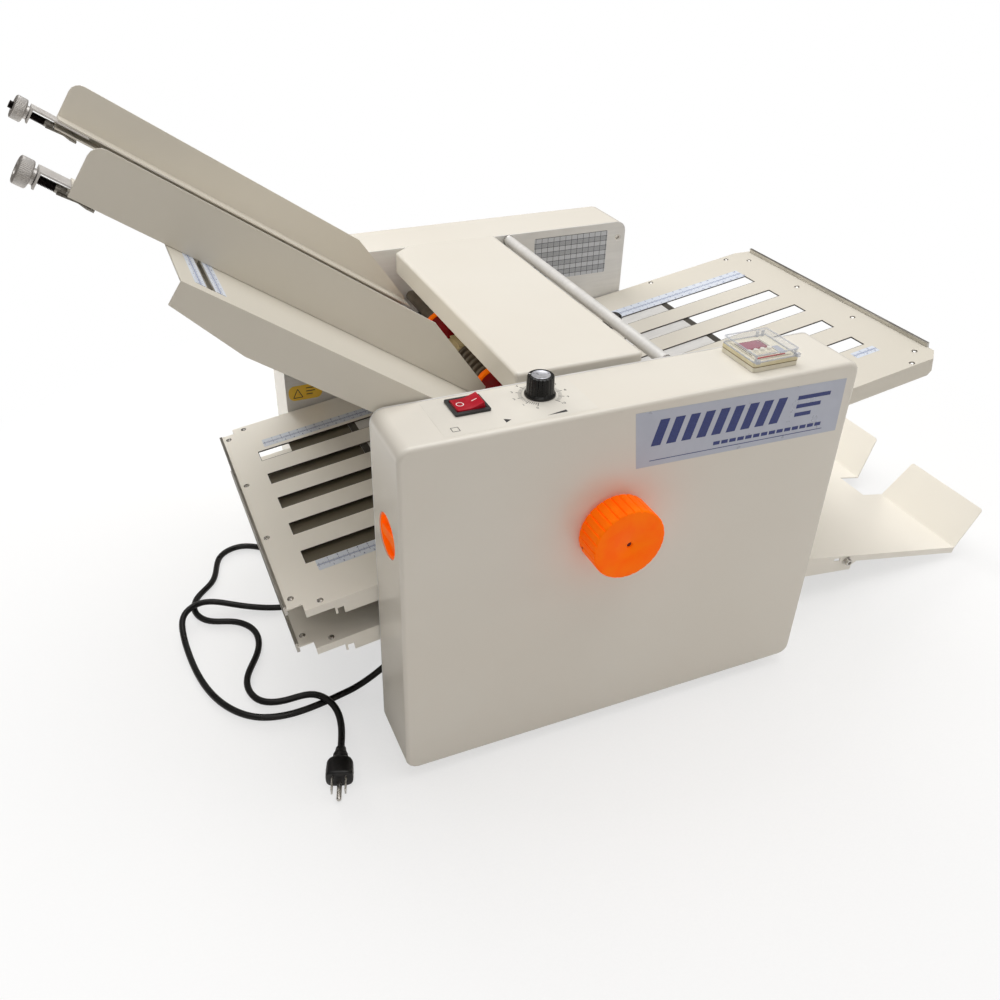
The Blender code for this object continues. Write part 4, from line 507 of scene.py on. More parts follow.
def letters(text, size):
    """Plain characters, centred on the XY plane, made a mesh straight away."""
    if text not in GLYPHS:
        curve = bpy.data.curves.new("letters", "FONT")
        curve.body = text
        curve.align_x = "CENTER"
        curve.align_y = "CENTER"
        curve.resolution_u = 2
        curve.extrude = GLYPH_EXTRUDE
        holder = show("letters", curve)
        shaped = holder.evaluated_get(bpy.context.evaluated_depsgraph_get())
        mesh = bpy.data.meshes.new_from_object(shaped)
        points = np.zeros(len(mesh.vertices) * 3)
        mesh.vertices.foreach_get("co", points)
        GLYPHS[text] = points.reshape(-1, 3), [tuple(p.vertices) for p in mesh.polygons]
        bpy.data.objects.remove(holder)
        bpy.data.curves.remove(curve)
        bpy.data.meshes.remove(mesh)
    points, faces = GLYPHS[text]
    tall = PRINT * MM
    return points * (size * MM, size * MM, tall / (2 * GLYPH_EXTRUDE)) + (0, 0, tall / 2), faces


# Pieces

def smooth(mesh, angle=SOFT_ANGLE):
    mesh.shade_smooth()
    mesh.set_sharp_from_angle(angle=math.radians(angle))


def merged(mesh, distance):
    """A bmesh of the mesh without doubled points, or edges and faces of no length."""
    builder = bmesh.new()
    builder.from_mesh(mesh)
    bmesh.ops.remove_doubles(builder, verts=builder.verts, dist=distance)
    bmesh.ops.dissolve_degenerate(builder, edges=builder.edges, dist=1e-7)
    return builder


def in_frame(points, matrix):
    """Points as a frame sees them, in metres."""
    return put((points, ()), matrix.inverted())[0]


def piece(name, shape, finish, node, replaces=(), uv=None, angle=SOFT_ANGLE):
    """A named mesh of one shape, in its finish, that rides on the body of a node."""
    points, faces = shape
    mesh = bpy.data.meshes.new(name)
    mesh.from_pydata(points.tolist(), [], [tuple(int(i) for i in loop) for loop in faces])
    builder = merged(mesh, 3e-6)
    builder.to_mesh(mesh)
    builder.free()
    if uv is not None:
        layer = mesh.uv_layers.new(name="metres")
        corners = np.zeros(len(mesh.loops), int)
        mesh.loops.foreach_get("vertex_index", corners)
        places = np.zeros(len(mesh.vertices) * 3)
        mesh.vertices.foreach_get("co", places)
        flat = in_frame(places.reshape(-1, 3), uv)[corners, :2]
        layer.data.foreach_set("uv", flat.ravel())
    smooth(mesh, angle)
    mesh.materials.append(FINISH[finish])
    made = show(name, mesh)
    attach(made, BODY_OF.get(node, node))
    if replaces:
        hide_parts(*replaces)
    return made


def stand_in(node, shape, finish, angle=SOFT_ANGLE):
    """The finished piece that takes the place of a CAD node."""
    return piece(node + "_finished", shape, finish, node, [node], angle=angle)


def softened(node, finish, edge=0.3, others=(), choose=None):
    """A merged copy of a CAD node with its sharp edges rounded, which stands for it.
    choose takes the middles of its faces and gives the finish of each by number."""
    builder = merged(frame["nodes"][node].data, 2e-6)
    flat = math.radians(0.5)
    bmesh.ops.dissolve_limit(builder, angle_limit=flat, verts=builder.verts, edges=builder.edges)
    builder.verts.index_update()
    points = np.array([v.co[:] for v in builder.verts])
    faces = [tuple(v.index for v in f.verts) for f in builder.faces]
    middles = np.array([f.calc_center_median()[:] for f in builder.faces])
    builder.free()
    copy = bpy.data.meshes.new(node + "_finished")
    copy.from_pydata(points.tolist(), [], faces)
    for one in (finish, *others):
        copy.materials.append(FINISH[one])
    if choose:
        copy.polygons.foreach_set("material_index", np.asarray(choose(middles), int))
    smooth(copy)
    made = show(node + "_finished", copy)
    bevel = made.modifiers.new("soft_edges", "BEVEL")
    bevel.width = edge * MM
    bevel.segments = 2
    bevel.limit_method = "ANGLE"
    bevel.angle_limit = math.radians(40)
    flats = made.modifiers.new("flat_faces", "WEIGHTED_NORMAL")
    flats.keep_sharp = True
    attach(made, BODY_OF[node])
    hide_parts(node)


# Cord: the same route as the part's, smoothed more finely

CORD_RADIUS = 3.5 * MM
CORD_ROUTE = (
    (-155.3, -106, 30), (-167, -106, 29.9), (-188, -106.8, 21.5),
    (-211, -109.5, 9.5), (-235, -114.5, 3.6), (-264, -121, 3.5),
    (-302, -125, 3.5), (-335, -116.5, 3.5), (-359, -93, 3.5),
    (-377, -50, 3.5), (-384.5, 0, 4.2), (-385.5, 36, 8),
    (-379, 61, 10.8), (-360, 73.5, 10.8), (-326, 64, 6.2),
    (-290, 46.5, 3.6), (-255, 39, 3.5), (-225, 52, 3.5),
    (-213, 82, 3.5), (-229, 114, 3.5), (-254, 142, 3.5),
    (-276, 166, 3.5), (-299, 175, 3.5), (-320.5, 165.5, 3.5),
    (-331.5, 140, 3.5), (-341, 116, 3.5), (-360, 95, 3.5),
    (-367.5, 70, 3.5), (-355.5, 48, 3.5), (-330, 36.5, 3.5),
    (-312, 15, 3.5), (-316, -25, 3.5), (-335, -66, 3.5),
    (-327, -95.5, 3.6), (-303, -106.5, 5.6), (-276.5, -113, 10),
    (-261, -135, 10.5), (-260, -160, 10), (-264.4, -179, 11),
    (-269, -193, 11),
)


def smooth_route(points, step):
    """A natural cubic through the points, read at even steps along its length: each
    span is the cubic whose second derivatives at its ends solve the usual system."""
    lengths = np.linalg.norm(np.diff(points, axis=0), axis=1)
    knots = np.concatenate(([0], np.cumsum(lengths)))
    count = len(points)
    system = np.eye(count)
    inner = np.arange(1, count - 1)
    system[inner, inner - 1] = lengths[:-1]
    system[inner, inner] = 2 * (lengths[:-1] + lengths[1:])
    system[inner, inner + 1] = lengths[1:]
    slopes = np.diff(points, axis=0) / lengths[:, None]
    known = np.zeros((count, 3))
    known[1:-1] = 6 * np.diff(slopes, axis=0)
    bend = np.linalg.solve(system, known)
    t = np.linspace(0, knots[-1], 60 * count)
    span = np.clip(np.searchsorted(knots, t, side="right") - 1, 0, count - 2)
    h = lengths[span][:, None]
    left, right = (knots[span + 1] - t)[:, None], (t - knots[span])[:, None]
    fine = (bend[span] * left ** 3 + bend[span + 1] * right ** 3) / (6 * h)
    fine += (points[span] / h - bend[span] * h / 6) * left
    fine += (points[span + 1] / h - bend[span + 1] * h / 6) * right
    travelled = np.concatenate(([0], np.cumsum(np.linalg.norm(np.diff(fine, axis=0), axis=1))))
    stops = np.linspace(0, travelled[-1], round(travelled[-1] / step) + 1)
    return np.column_stack([np.interp(stops, travelled, fine[:, axis]) for axis in range(3)])


def add_cord():
    """The power cord, one tube of 7 mm along its whole route, with its relief and plug."""
    route = smooth_route(np.array(CORD_ROUTE) * MM, 5 * MM)
    route[:, 2] = np.maximum(route[:, 2], CORD_RADIUS)
    route += np.array(SHIFT.translation)
    curve = bpy.data.curves.new("power_cord_finished", "CURVE")
    curve.dimensions = "3D"
    curve.bevel_depth = CORD_RADIUS
    curve.bevel_resolution = 4
    curve.use_fill_caps = True
    spline = curve.splines.new("POLY")
    spline.points.add(len(route) - 1)
    spline.points.foreach_set("co", np.column_stack([route, np.ones(len(route))]).ravel())
    spline.use_smooth = True
    curve.materials.append(FINISH["cord_pvc"])
    cord = show("power_cord_finished", curve)
    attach(cord, BODY_OF["power_cord"])
    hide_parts("power_cord")
    carried = add_plug() + [add_strain_relief()]


PLUG_HEADING = math.degrees(math.atan2(-0.950, -0.311))
PLUG_PLACE = SHIFT @ at(-269.0, -193.0, 11.0) @ turn(PLUG_HEADING, "Z")
PLUG = PLUG_PLACE @ TOWARDS_RIGHT @ turn(90, "Z")  # Z along the cord's way, X across, Y up


def add_plug():
    """A moulded plug. Each ring is a rounded rectangle |x/a|^n + |y/b|^n = 1, with n from
    2 at the neck to 3.4; a and b swell from the neck to the shoulders, which are waved."""
    along = np.array([0.3, 1, 3, 5, 7, 8.5, 10, 11, 12, 13, 14.5, 16, 17.5, 19, 21, 23, 25, 27,
                      29, 31, 33, 35, 36.5, 37.4, 38])
    wide = np.array([4.6, 5, 5.2, 5.6, 6.3, 7.0, 7.2, 7.0, 6.4, 6.3, 7.6, 9.6, 11.2, 12.2, 12.6,
                     12.7, 12.8, 12.9, 13, 13, 13, 12.9, 12.8, 12.4, 11.6])
    tall = np.array([4.6, 5, 5.2, 5.5, 6.0, 6.5, 6.6, 6.4, 6.2, 6.2, 6.9, 8.0, 9.0, 9.5, 9.7, 9.8,
                     9.8, 9.9, 10, 10, 10, 9.9, 9.8, 9.4, 8.7])
    angle = np.linspace(0, 2 * np.pi, 48, endpoint=False)
    power = np.interp(along, [0, 12, 20], [2.0, 2.2, 3.4])[:, None]
    reach = (np.abs(np.cos(angle)) ** power + np.abs(np.sin(angle)) ** power) ** (-1 / power)
    waved = ((along > 18) & (along < 35))[:, None]
    phase = (along[:, None] + 3 * np.abs(np.sin(angle))) * 2 * np.pi / 4
    groove = 0.35 * waved * (np.cos(phase) > 0.2)
    x = (wide[:, None] * reach - groove) * np.cos(angle)
    y = (tall[:, None] * reach - groove) * np.sin(angle)
    rings = np.stack([x, y, np.repeat(along[:, None], len(angle), 1)], -1)
    shell = piece("plug_moulding", put(loft(rings), PLUG), "cord_pvc", "power_plug",
                  ["power_plug"], angle=50)
    face = 37.8
    blade = slab(1.6, 6.3, 0.5, 0, 16.6, 0.4, 2)
    earth = turned([(0, 2.4), (18, 2.4), (19.2, 1.8), (19.6, 0)], 24)
    pins = joined(put(blade, at(-6.35, 2.5, face)), put(blade, at(6.35, 2.5, face)),
                  put(earth, at(0, -5.5, face)))
    return [shell, piece("plug_pins", put(pins, PLUG), "zinc_plate", "power_plug")]


def add_strain_relief():
    """A ribbed sleeve: collar, then six ribs on a taper to the cord."""
    ribs = [(0, 10), (0.4, 10), (2.6, 10), (3, 9.6), (3, 6.4)]
    for index in range(6):
        low = 4.2 + index * 3.2
        radius = 6.4 - index * 0.32
        ribs += [(low, radius), (low + 1.7, radius), (low + 1.9, radius - 1.1),
                 (low + 2.9, radius - 1.1), (low + 3.1, radius - 0.3)]
    ribs += [(24.4, 4.5), (24.7, 4.2)]
    mouth = SHIFT @ at(-130.3, -106, 30) @ TOWARDS_LEFT
    return stand_in("strain_relief", put(turned(ribs, 40), mouth), "cord_pvc", 28)


# Covers, plates, hood, trays: the CAD's own sheet metal with soft edges

def between(matrix, start, end):
    """A chooser: 1 for the faces of the rail that runs across a tray between two places."""
    def choose(middles):
        along = in_frame(middles, matrix)[:, 0]
        return (along > start * MM) & (along < end * MM)
    return choose


def under(matrix):
    """A chooser: 1 for a stop's plate, under the tray, and 0 for its knob and stem."""
    return lambda middles: in_frame(middles, matrix)[:, 2] < -1.4 * MM


def add_sheet_metal():
    def all_softened(nodes, *values):
        for node in nodes.split():
            softened(node, *values)

    all_softened("front_cover rear_cover top_hood", "cream_enamel", 0.4)
    # painted shade: a darker copy of the cream enamel, here and on the right-hand tray and the
    # guides below
    all_softened("feed_table", "stone_enamel")
    # painted light: a paler copy of the cream enamel, here and on the left trays below
    all_softened("exit_tray exit_tray_extension", "pale_enamel")
    all_softened("front_side_plate rear_side_plate base_plate", "rolled_steel", 0.2)
    rail = ["drawn_aluminium"]
    for node, place in LEFT_TRAYS:
        softened(node, "pale_enamel", 0.2, rail, between(place, -85.0, -81.2))
    softened("right_tray", "stone_enamel", 0.2, rail, between(RIGHT, 109.2, 113.0))
    all_softened("front_side_guide rear_side_guide", "stone_enamel")
    all_softened("front_guide_strap rear_guide_strap", "grey_strap", 0.2)
    for node, place, _ in STOPS:
        softened(node, "black_abs", 0.4, ["rolled_steel"], under(place))
    all_softened("guide_rail", "drawn_aluminium", 0.2)
    all_softened("tie_rod", "rolled_steel", 0.6)
    all_softened("separator_pad", "black_rubber", 0.4)
    all_softened("switch_bezel", "grey_abs", 0.4)
    all_softened("motor", "blacked_steel", 0.6)
    all_softened("motor_pinion", "machined_steel", 0.1)
    all_softened("fold_gear_1 fold_gear_2 fold_gear_3 feed_gear", "white_nylon", 0.2)
    all_softened("foot_front_left foot_front_right foot_rear_left foot_rear_right",
                 "black_rubber", 0.6)


# Each stop with its tray's frame and the outer edge of its plate
STOPS = (("upper_left_stop", UPPER_LEFT, 55), ("lower_left_stop", LOWER_LEFT, 55),
         ("right_stop", RIGHT, -58.2))
LEFT_SLOTS = (-50.5, 110)
RIGHT_SLOTS = (-150, 64.4)


def add_slot_edges():
    """The bare cut edges of the slots, darkened as painted shade, and dark strips of painted shade
    on the stops' turned-down rims.
    """
    wall = 0.5
    trays = [(*tray, *LEFT_SLOTS) for tray in LEFT_TRAYS] + [("right_tray", RIGHT, *RIGHT_SLOTS)]
    for node, place, start, end in trays:
        hole = drawn_in(rounded_rectangle(end - start, SLOT_WIDTH, 0.8, 3), wall)
        ring = frame_band(hole, wall - 0.03, -1.42, -0.04)
        rings = [put(ring, at((start + end) / 2, (row - SLOT_ROWS // 2) * SLOT_PITCH, 0))
                 for row in range(SLOT_ROWS)]
        # painted shade: dark rings in the slots' edges, partly the bare cut metal
        piece(node + "_slot_edges", put(joined(*rings), place), "bare_edge_painted_shade", node)
    rim_width = 8
    for node, place, start in STOPS:
        rim = slab(rim_width, 248, 0.4, -0.02, 0.05, 0, 2)
        # painted shade: a dark strip on the stop's plate where its rim turns down
        piece(node + "_rim", put(rim, place @ at(start + rim_width / 2, 0, -1.5)), "bare_edge_painted_shade",
              node)


def add_second_sheets():
    """The closed sheet under each left tray's slots, in dark enamel as painted shade; the paper
    stops between the two sheets.
    It ends short of the rearmost slot's outer end."""
    half, split, inner = 170.0, 73.5, 112
    for node, place in LEFT_TRAYS:
        parts = []
        for start, front, rear in ((-56, -half, split), (-15, split + 0.1, half)):
            sheet = slab(inner - start, rear - front, 1, -5.5, -4.5, 0.1, 2)
            parts.append(put(sheet, at((start + inner) / 2, (front + rear) / 2, 0)))
        # painted shade: the sheets are dark where the slots look into the gap between the trays
        piece(node + "_second_sheet", put(joined(*parts), place), "shade_painted_sheet", node)


# Screws and rivets

def pan_head(radius, height):
    """A cross-recessed pan head: a dome z = h (1 - (r/R)^3), with a thin cross laid on it."""
    share = (1.0, 0.95, 0.85, 0.7, 0.5, 0.28, 0.0)
    head = turned([(-0.2, radius)] + [(height * (1 - s ** 3), radius * s) for s in share], 32)
    slot = slab(radius, radius * 0.26, radius * 0.1, 0, 0.05, 0, 2)
    return joined(head, *[put(slot, at(0, 0, height * 0.93) @ turn(degrees, "Z"))
                          for degrees in (20, 110)])


def add_screws():
    """Pan heads on the trays, each in a thin washer ring that the paint leaves bare."""
    left = [(-293.5, 152), (-293.5, 50), (-293.5, -50), (-293.5, -149), (-274, 165), (-270, -165)]
    right = [(390.5, -150), (390.5, -54), (390.5, 45), (390.5, 142), (260, 166), (370, 163),
             (372, -167)]
    groups = [(*tray, LEFT_X, LEFT_RISE, left) for tray in LEFT_TRAYS]
    groups.append(("right_tray", RIGHT, RIGHT_X, RIGHT_RISE, right))
    washer = turned([(-0.1, 3.1), (0.12, 3.1), (0.16, 3.0)], 32)
    screw = joined(washer, pan_head(2.5, 0.9))
    for node, matrix, start, rise, places in groups:
        reach = math.cos(math.radians(rise))
        heads = [put(screw, matrix @ at((x - start) / reach, y, 0)) for x, y in places]
        piece(node + "_screws", joined(*heads), "zinc_plate", node)
    socket = turned([(0, 4.2), (0.5, 4.4), (2.2, 4.4), (2.6, 4.0), (2.6, 2.2), (1.0, 2.0),
                     (1.0, 0)], 36)
    plate = SHIFT @ at(209, REAR_PLATE, 343.5) @ TOWARDS_FRONT
    piece("rear_plate_screw", put(socket, plate @ at(0, 0, -2.8)), "zinc_plate", "frame")
    cap = turned([(0, 6.4), (2.0, 6.4), (2.5, 5.9), (2.5, 0)], 36)
    ends = [put(cap, SHIFT @ at(60, y, 357) @ way)
            for y, way in ((174.2, TOWARDS_FRONT), (-174.2, TOWARDS_REAR))]
    piece("tie_rod_ends", joined(*ends), "zinc_plate", "frame")


def add_exit_screw():
    """Washer, spring washer and a socket head on one bolt, with a nut inside."""
    head = turned([(0, 5.5), (0.2, 5.6), (1.0, 5.6), (1.2, 5.4), (1.2, 4.6), (1.5, 4.7),
                   (2.1, 4.7), (2.2, 4.5), (2.2, 4.0), (2.5, 4.3), (4.8, 4.3), (5.2, 3.9),
                   (5.2, 2.3), (3.4, 2.1), (3.4, 0)], 40)
    shank = turned([(-6.6, 0), (-6.6, 3.0), (-6.2, 3.2), (-3.9, 3.2), (-3.6, 3.0), (-3.6, 2.5),
                    (-0.2, 2.5), (-0.2, 0)], 24)
    place = EXIT @ at(58.2, -172.3, -6.8) @ TOWARDS_FRONT
    stand_in("exit_clamp_screw", put(joined(head, shank), place), "zinc_plate")


# Hand wheel and side knob

def add_hand_wheel():
    """28 broad ribs between narrow grooves: r = R - d f(s), with s the share of the way
    round a rib and f its table below; the front edge is rounded and the eye is coned."""
    place = SHIFT @ at(-23.6, 0, 244.6) @ TOWARDS_FRONT
    ribs = 28
    shares = np.array([0.0, 0.10, 0.28, 0.50, 0.70, 0.82, 0.865, 0.90, 0.945, 0.97])
    falls = np.array([0.14, 0.05, 0.01, 0.0, 0.03, 0.12, 0.45, 1.0, 1.0, 0.55])
    angle = (np.repeat(np.arange(ribs), len(shares)) + np.tile(shares, ribs)) / ribs * 2 * np.pi
    back, front, radius = 247, 275, 34.5
    levels = [(back, radius - 0.6, 1.0), (back + 0.5, radius, 1.0), (front - 2.2, radius, 1.0)]
    for a in np.linspace(0, 90, 7):
        rise = math.radians(a)
        levels.append((front - 1.6 + 1.6 * math.sin(rise), radius - 1.7 * (1 - math.cos(rise)),
                       math.cos(rise) ** 0.6 if a < 90 else 0.0))
    levels += [(front, 3.6, 0), (front - 0.3, 3.2, 0), (front - 1.4, 2.6, 0), (front - 8, 2.4, 0)]
    stand_in("hand_wheel", put(spun(levels, angle, 1.3 * np.tile(falls, ribs)), place),
             "orange_abs", 42)
    # painted shade: a dark patch on the rim where the pin's hole is
    pin = slab(2.8, 2.8, 0.5, 33.0, 34.54, 0, 2)
    way = place @ at(0, 0, back + 5.5) @ turn(196, "Z") @ TOWARDS_RIGHT
    piece("hand_wheel_pin_hole", put(pin, way), "bore_painted_shade", "hand_wheel")
    # painted shade: a dark floor in the wheel's eye
    bore = block(arc(0, 0, 2.3, 0, 345, 24), front - 7.0, front - 2.0, 0)
    piece("hand_wheel_eye_floor", put(bore, place), "bore_painted_shade", "hand_wheel")


def add_side_knob():
    """A cup sunk in the cover's end: a thin rim round a floor 3.6 mm down, and a grip bar
    across it, flush with the rim."""
    place = SHIFT @ at(-218, -209.9, 262.4) @ TOWARDS_LEFT
    disc = turned([(-20, 8), (-10, 8), (-10, 19.9), (-9.4, 20.5), (-0.4, 20.5), (0, 20.1),
                   (0, 18.6), (-0.5, 18.1), (-3.2, 17.4), (-3.6, 16.6), (-3.6, 0)], 72)
    foot = rounded_rectangle(33.0, 11.0, 2.6, 6)
    roof = ((-4.2, 1.0, 1.0), (-2.4, 0.99, 0.96), (-1.0, 0.985, 0.94), (-0.4, 0.975, 0.90),
            (-0.2, 0.95, 0.80))  # height, share of the length, share of the width
    grip = put(loft([level(foot * shares, height) for height, *shares in roof]), turn(97, "Z"))
    node = "side_adjuster_knob"
    piece("side_adjuster_finished", put(joined(disc, grip), place), "orange_abs", node, [node],
          angle=30)


# Feed rollers

SHAFT_BORE = 6.3


def soft_sleeve(start, end, outer, edge):
    """A bush on the feed shaft with rounded outer edges."""
    corner = arc(outer - edge, start + edge, edge, -90, 0, 4)
    corner += arc(outer - edge, end - edge, edge, 0, 90, 4)
    profile = [(start, SHAFT_BORE)] + [(h, r) for r, h in corner] + [(end, SHAFT_BORE)]
    return turned(profile, 96, closed=True)


def span(node):
    """Where a solid starts and ends along the machine's depth."""
    return [(corner.y - SHIFT.translation.y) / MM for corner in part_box(node)]


def add_feed_rollers():
    """Plain tyres, orange flanges, a toothed wheel whose teeth are r = R - d t^0.8 for t
    running round each tooth, so that they lean forwards, and a ribbed sleeve."""
    place = SHIFT @ at(-62, 0, 305) @ TOWARDS_REAR
    for name, start, end in (("front_feed_roller", -121, -75.3), ("rear_feed_roller", 22.3, 67.7)):
        stand_in(name, put(soft_sleeve(start, end, 20, 0.8), place), "red_rubber")
    for name, start in (("front_roller_flange", -75), ("rear_roller_flange", 68)):
        stand_in(name, put(soft_sleeve(start, start + 7, 21.5, 1.2), place), "orange_abs")
    teeth, steps = 20, 8
    share = np.tile(np.linspace(0, 1, steps, endpoint=False), teeth)
    angle = (np.repeat(np.arange(teeth), steps) + share) / teeth * 2 * np.pi
    radius = 19.5 - 3.0 * share ** 0.8
    way = np.column_stack([np.cos(angle), np.sin(angle)])
    outer, inner = way * radius[:, None], way * SHAFT_BORE
    start, end = -5, 22
    rings = [level(loop, h) for loop, h in (
        (inner, start), (outer * 0.98, start), (outer, start + 0.5), (outer, end - 0.5),
        (outer * 0.98, end), (inner, end))]
    stand_in("toothed_feed_wheel", put(loft(rings, closed=True), place), "ivory_nylon", 25)
    low, high, ribs, shaft = -67.4, -5.3, 7, 6
    width = (high - low) / (2 * ribs - 1)
    front, rear = span("feed_shaft")
    profile = [(front, shaft), (low, shaft)]
    for index in range(2 * ribs - 1):
        r = 12.5 if index % 2 else 16
        a, b = low + index * width, low + (index + 1) * width
        profile += [(a + 0.1, r - 0.4), (a + 0.5, r), (b - 0.5, r), (b - 0.1, r - 0.4)]
    profile += [(high, shaft), (rear, shaft)]
    # painted shade: the ribbed sleeve is a darker copy of the toothed wheel's ivory
    stand_in("feed_shaft", put(turned(profile), place), "ivory_nylon_painted_shade")


def add_fold_rollers():
    for index in (1, 2, 3):
        softened(f"fold_roller_{index}", "black_rubber", 0.4)


# Clamps of the side guides

def threaded(start, end, radius, pitch, around=28):
    """A screw thread: r = R - d |2 frac(z/p - a/2pi) - 1|, closed by flat ends."""
    rows = round((end - start) / pitch * 6)
    angle = np.linspace(0, 2 * np.pi, around, endpoint=False)
    levels = []
    for z in np.linspace(start, end, rows):
        turns = z / pitch - angle / (2 * np.pi)
        levels.append((z, radius - 0.6 * pitch * (1 - np.abs(2 * (turns % 1) - 1)), 0.0))
    return spun(levels, angle)


HOOK_OUTLINE = (  # along the table and up from it
    (-234, -3.4), (-219, -2.3), (-212.5, -3.7), (-207, -3.7), (-207, -1.8),
    (-211.5, -1.8), (-217.5, -0.6), (-234, -1.4),
)
NUT_LEVELS = (  # height, radius, share of the knurls' depth
    (-263, 5, 0), (-263, 9.1, 0), (-262.7, 9.8, 0.5), (-262, 10.5, 1),
    (-254.2, 10.5, 1), (-253.4, 9.9, 0.5), (-253.1, 9.2, 0), (-253.1, 6, 0),
    (-250.6, 6, 0), (-250.3, 5.7, 0), (-250.3, 3.9, 0), (-261.2, 3.9, 0),
)


def add_clamps():
    """Threaded rod with its bare tip and hook, and the nut: 48 fine knurls r = R - d
    (1 - |sin|), rounded edges, a bright collar and a coned bore."""
    knurls, steps = 48, 6
    angle = np.linspace(0, 2 * np.pi, knurls * steps, endpoint=False)
    nut = spun(NUT_LEVELS, angle, 0.32 * (1 - np.abs(np.sin(angle * knurls / 2))), closed=True)
    tip = turned([(-236.2, 0), (-236.2, 3.3), (-235.8, 3.5), (-228.5, 3.5), (-228.5, 0)], 28)
    hook = block(HOOK_OUTLINE, -4.9, 4.9, 0.3, 3, 0.3)
    for middle, outer, name in ((-85.5, -260.0, "front"), (125.0, -266.0, "rear")):
        base = TABLE @ at(0, middle, 0)
        line = base @ TOWARDS_RIGHT
        rod = f"{name}_clamp_rod"
        stand_in(rod, put(threaded(outer, -236.0, 3.55, 1.0), line), "blacked_steel")
        piece(f"{name}_clamp_tip", put(tip, line), "machined_steel", rod)
        piece(f"{name}_clamp_hook", put(hook, base @ TOWARDS_FRONT), "machined_steel", rod)
        stand_in(f"{name}_thumb_nut", put(nut, line), "tumbled_aluminium", 30)


# Controls on the front cover

DIAL_X, DIAL_Y = -79.5, -200


def add_rocker():
    """A paddle whose top is z = dip + (shoulder - dip) |x / a|^1.5, with round edges."""
    half, shoulder, dip, skirt = 11.8, 4.2, 2.2, 4.0
    x = np.linspace(half - 0.5, -half + 0.5, 15)
    top = np.column_stack([x, dip + (shoulder - dip) * np.abs(x / half) ** 1.5])
    outline = np.vstack([[(-half, -skirt), (half, -skirt), (half, shoulder - 0.6)], top,
                         [(-half, shoulder - 0.6)]])
    pivot = SHIFT @ at(-143.25, -197.8, 364.3) @ turn(-9, "Y")
    paddle = put(block(outline, -9.6, 9.6, 0.7, 4, 0.7), pivot @ TOWARDS_FRONT)
    node = "rocker_switch"
    piece("rocker_finished", paddle, "red_abs", node, [node])
    out, up = 6.2, 3.02  # of a mark from the pivot
    tilt = math.degrees(math.atan2(1.45, out)) * 0.72
    ring = turned([(0, 2.6), (0, 3.3), (PRINT, 3.3), (PRINT, 2.6)], 40, closed=True)
    marks = joined(put(ring, at(-out, 0, up) @ turn(tilt, "Y")),
                   put(bar((-2.4, 0), (2.4, 0), 0.8), at(out, 0, up) @ turn(-tilt, "Y")))
    piece("rocker_marks", put(marks, pivot), "white_ink", node)


def add_speed_knob():
    """Twenty broad flutes r = R - d (1 - |sin|^0.5), a flared skirt, a spun cap."""
    place = SHIFT @ at(DIAL_X, DIAL_Y, 363.3)
    flutes, steps = 20, 8
    angle = np.linspace(0, 2 * np.pi, flutes * steps, endpoint=False)
    depth = 0.75 * (1 - np.abs(np.sin(angle * flutes / 2)) ** 0.5)
    levels = [(-8, 2.9, 0), (0.05, 2.9, 0), (0.05, 13.0, 0), (0.4, 13.25, 0), (1.6, 13.2, 0),
              (2.3, 12.7, 0), (2.9, 12.0, 0.3), (3.6, 11.7, 1), (16.6, 11.3, 1), (17.5, 11.0, 0.8),
              (18.0, 10.4, 0.3), (18.2, 9.9, 0), (18.2, 8.3, 0), (17.9, 8.2, 0)]
    stand_in("speed_knob", put(spun(levels, angle, depth), place), "black_abs", 28)
    cap = turned([(17.6, 8.0), (18.25, 8.0), (18.4, 7.8), (18.4, 6.4), (18.3, 6.2), (18.3, 0)])
    piece("speed_knob_cap", put(cap, place), "silver_cap", "speed_knob")
    mark = put(bar((8.6, 0), (10.2, 0), 1.1), turn(150, "Z") @ at(0, 0, 18.22))
    piece("speed_knob_mark", put(mark, place), "white_ink", "speed_knob")


def add_dial_marks():
    """Ticks every 6 degrees over 300, longer at each fifth, with numbers 0 to 10, and
    three plain signs: a square, a triangle and a wedge."""
    film = slab(133, 58.5, 0.8, 0.01, 0.09, 0, 3)
    film_place = SHIFT @ at(-111.5, -209.25, COVER_TOP)
    piece("control_film", put(film, film_place), "control_film", "frame")
    signs = SHIFT @ at(0, 0, COVER_TOP + 0.09)
    place = signs @ at(DIAL_X, DIAL_Y, 0)
    first_bearing, tick_step = 240, 6
    marks = []
    for index in range(51):
        end, width = (18.4, 0.36) if index % 5 else (20.2, 0.62)
        way = turn(first_bearing - tick_step * index, "Z")
        marks.append(put(bar((15.2, 0), (end, 0), width), place @ way))
    for value in range(11):
        spot = arc(0, 0, 23.4, first_bearing - 5 * tick_step * value, 0, 2)[0]
        marks.append(put(letters(str(value), 4.2), place @ at(*spot)))
    square = outlined([(-3, -3), (3, -3), (3, 3), (-3, 3), (-3, -3)], 0.6)
    marks += [put(side, signs @ at(-166, -229, 0)) for side in square]
    triangle = printed([(-2.4, -3), (3.2, 0), (-2.4, 3)])
    wedge = printed([(-9, -1.2), (9, -1.2), (9, 2.2)])
    marks += [put(triangle, signs @ at(-122, -230, 0)), put(wedge, signs @ at(-80, -233, 0))]
    piece("dial_marks", joined(*marks), "black_ink", "frame")


# Counter under its clear lid

COUNTER = SHIFT @ at(134.5, -206.5, 363.3)
COUNTER_FOOT = rounded_rectangle(47, 48, 2, 4)


def counter_piece(name, finish, *shapes, node="counter_body"):
    """Shapes with their places on the counter, as one piece."""
    placed = [put(shape, at(*where)) for shape, *where in shapes]
    piece(name, put(joined(*placed), COUNTER), finish, node)


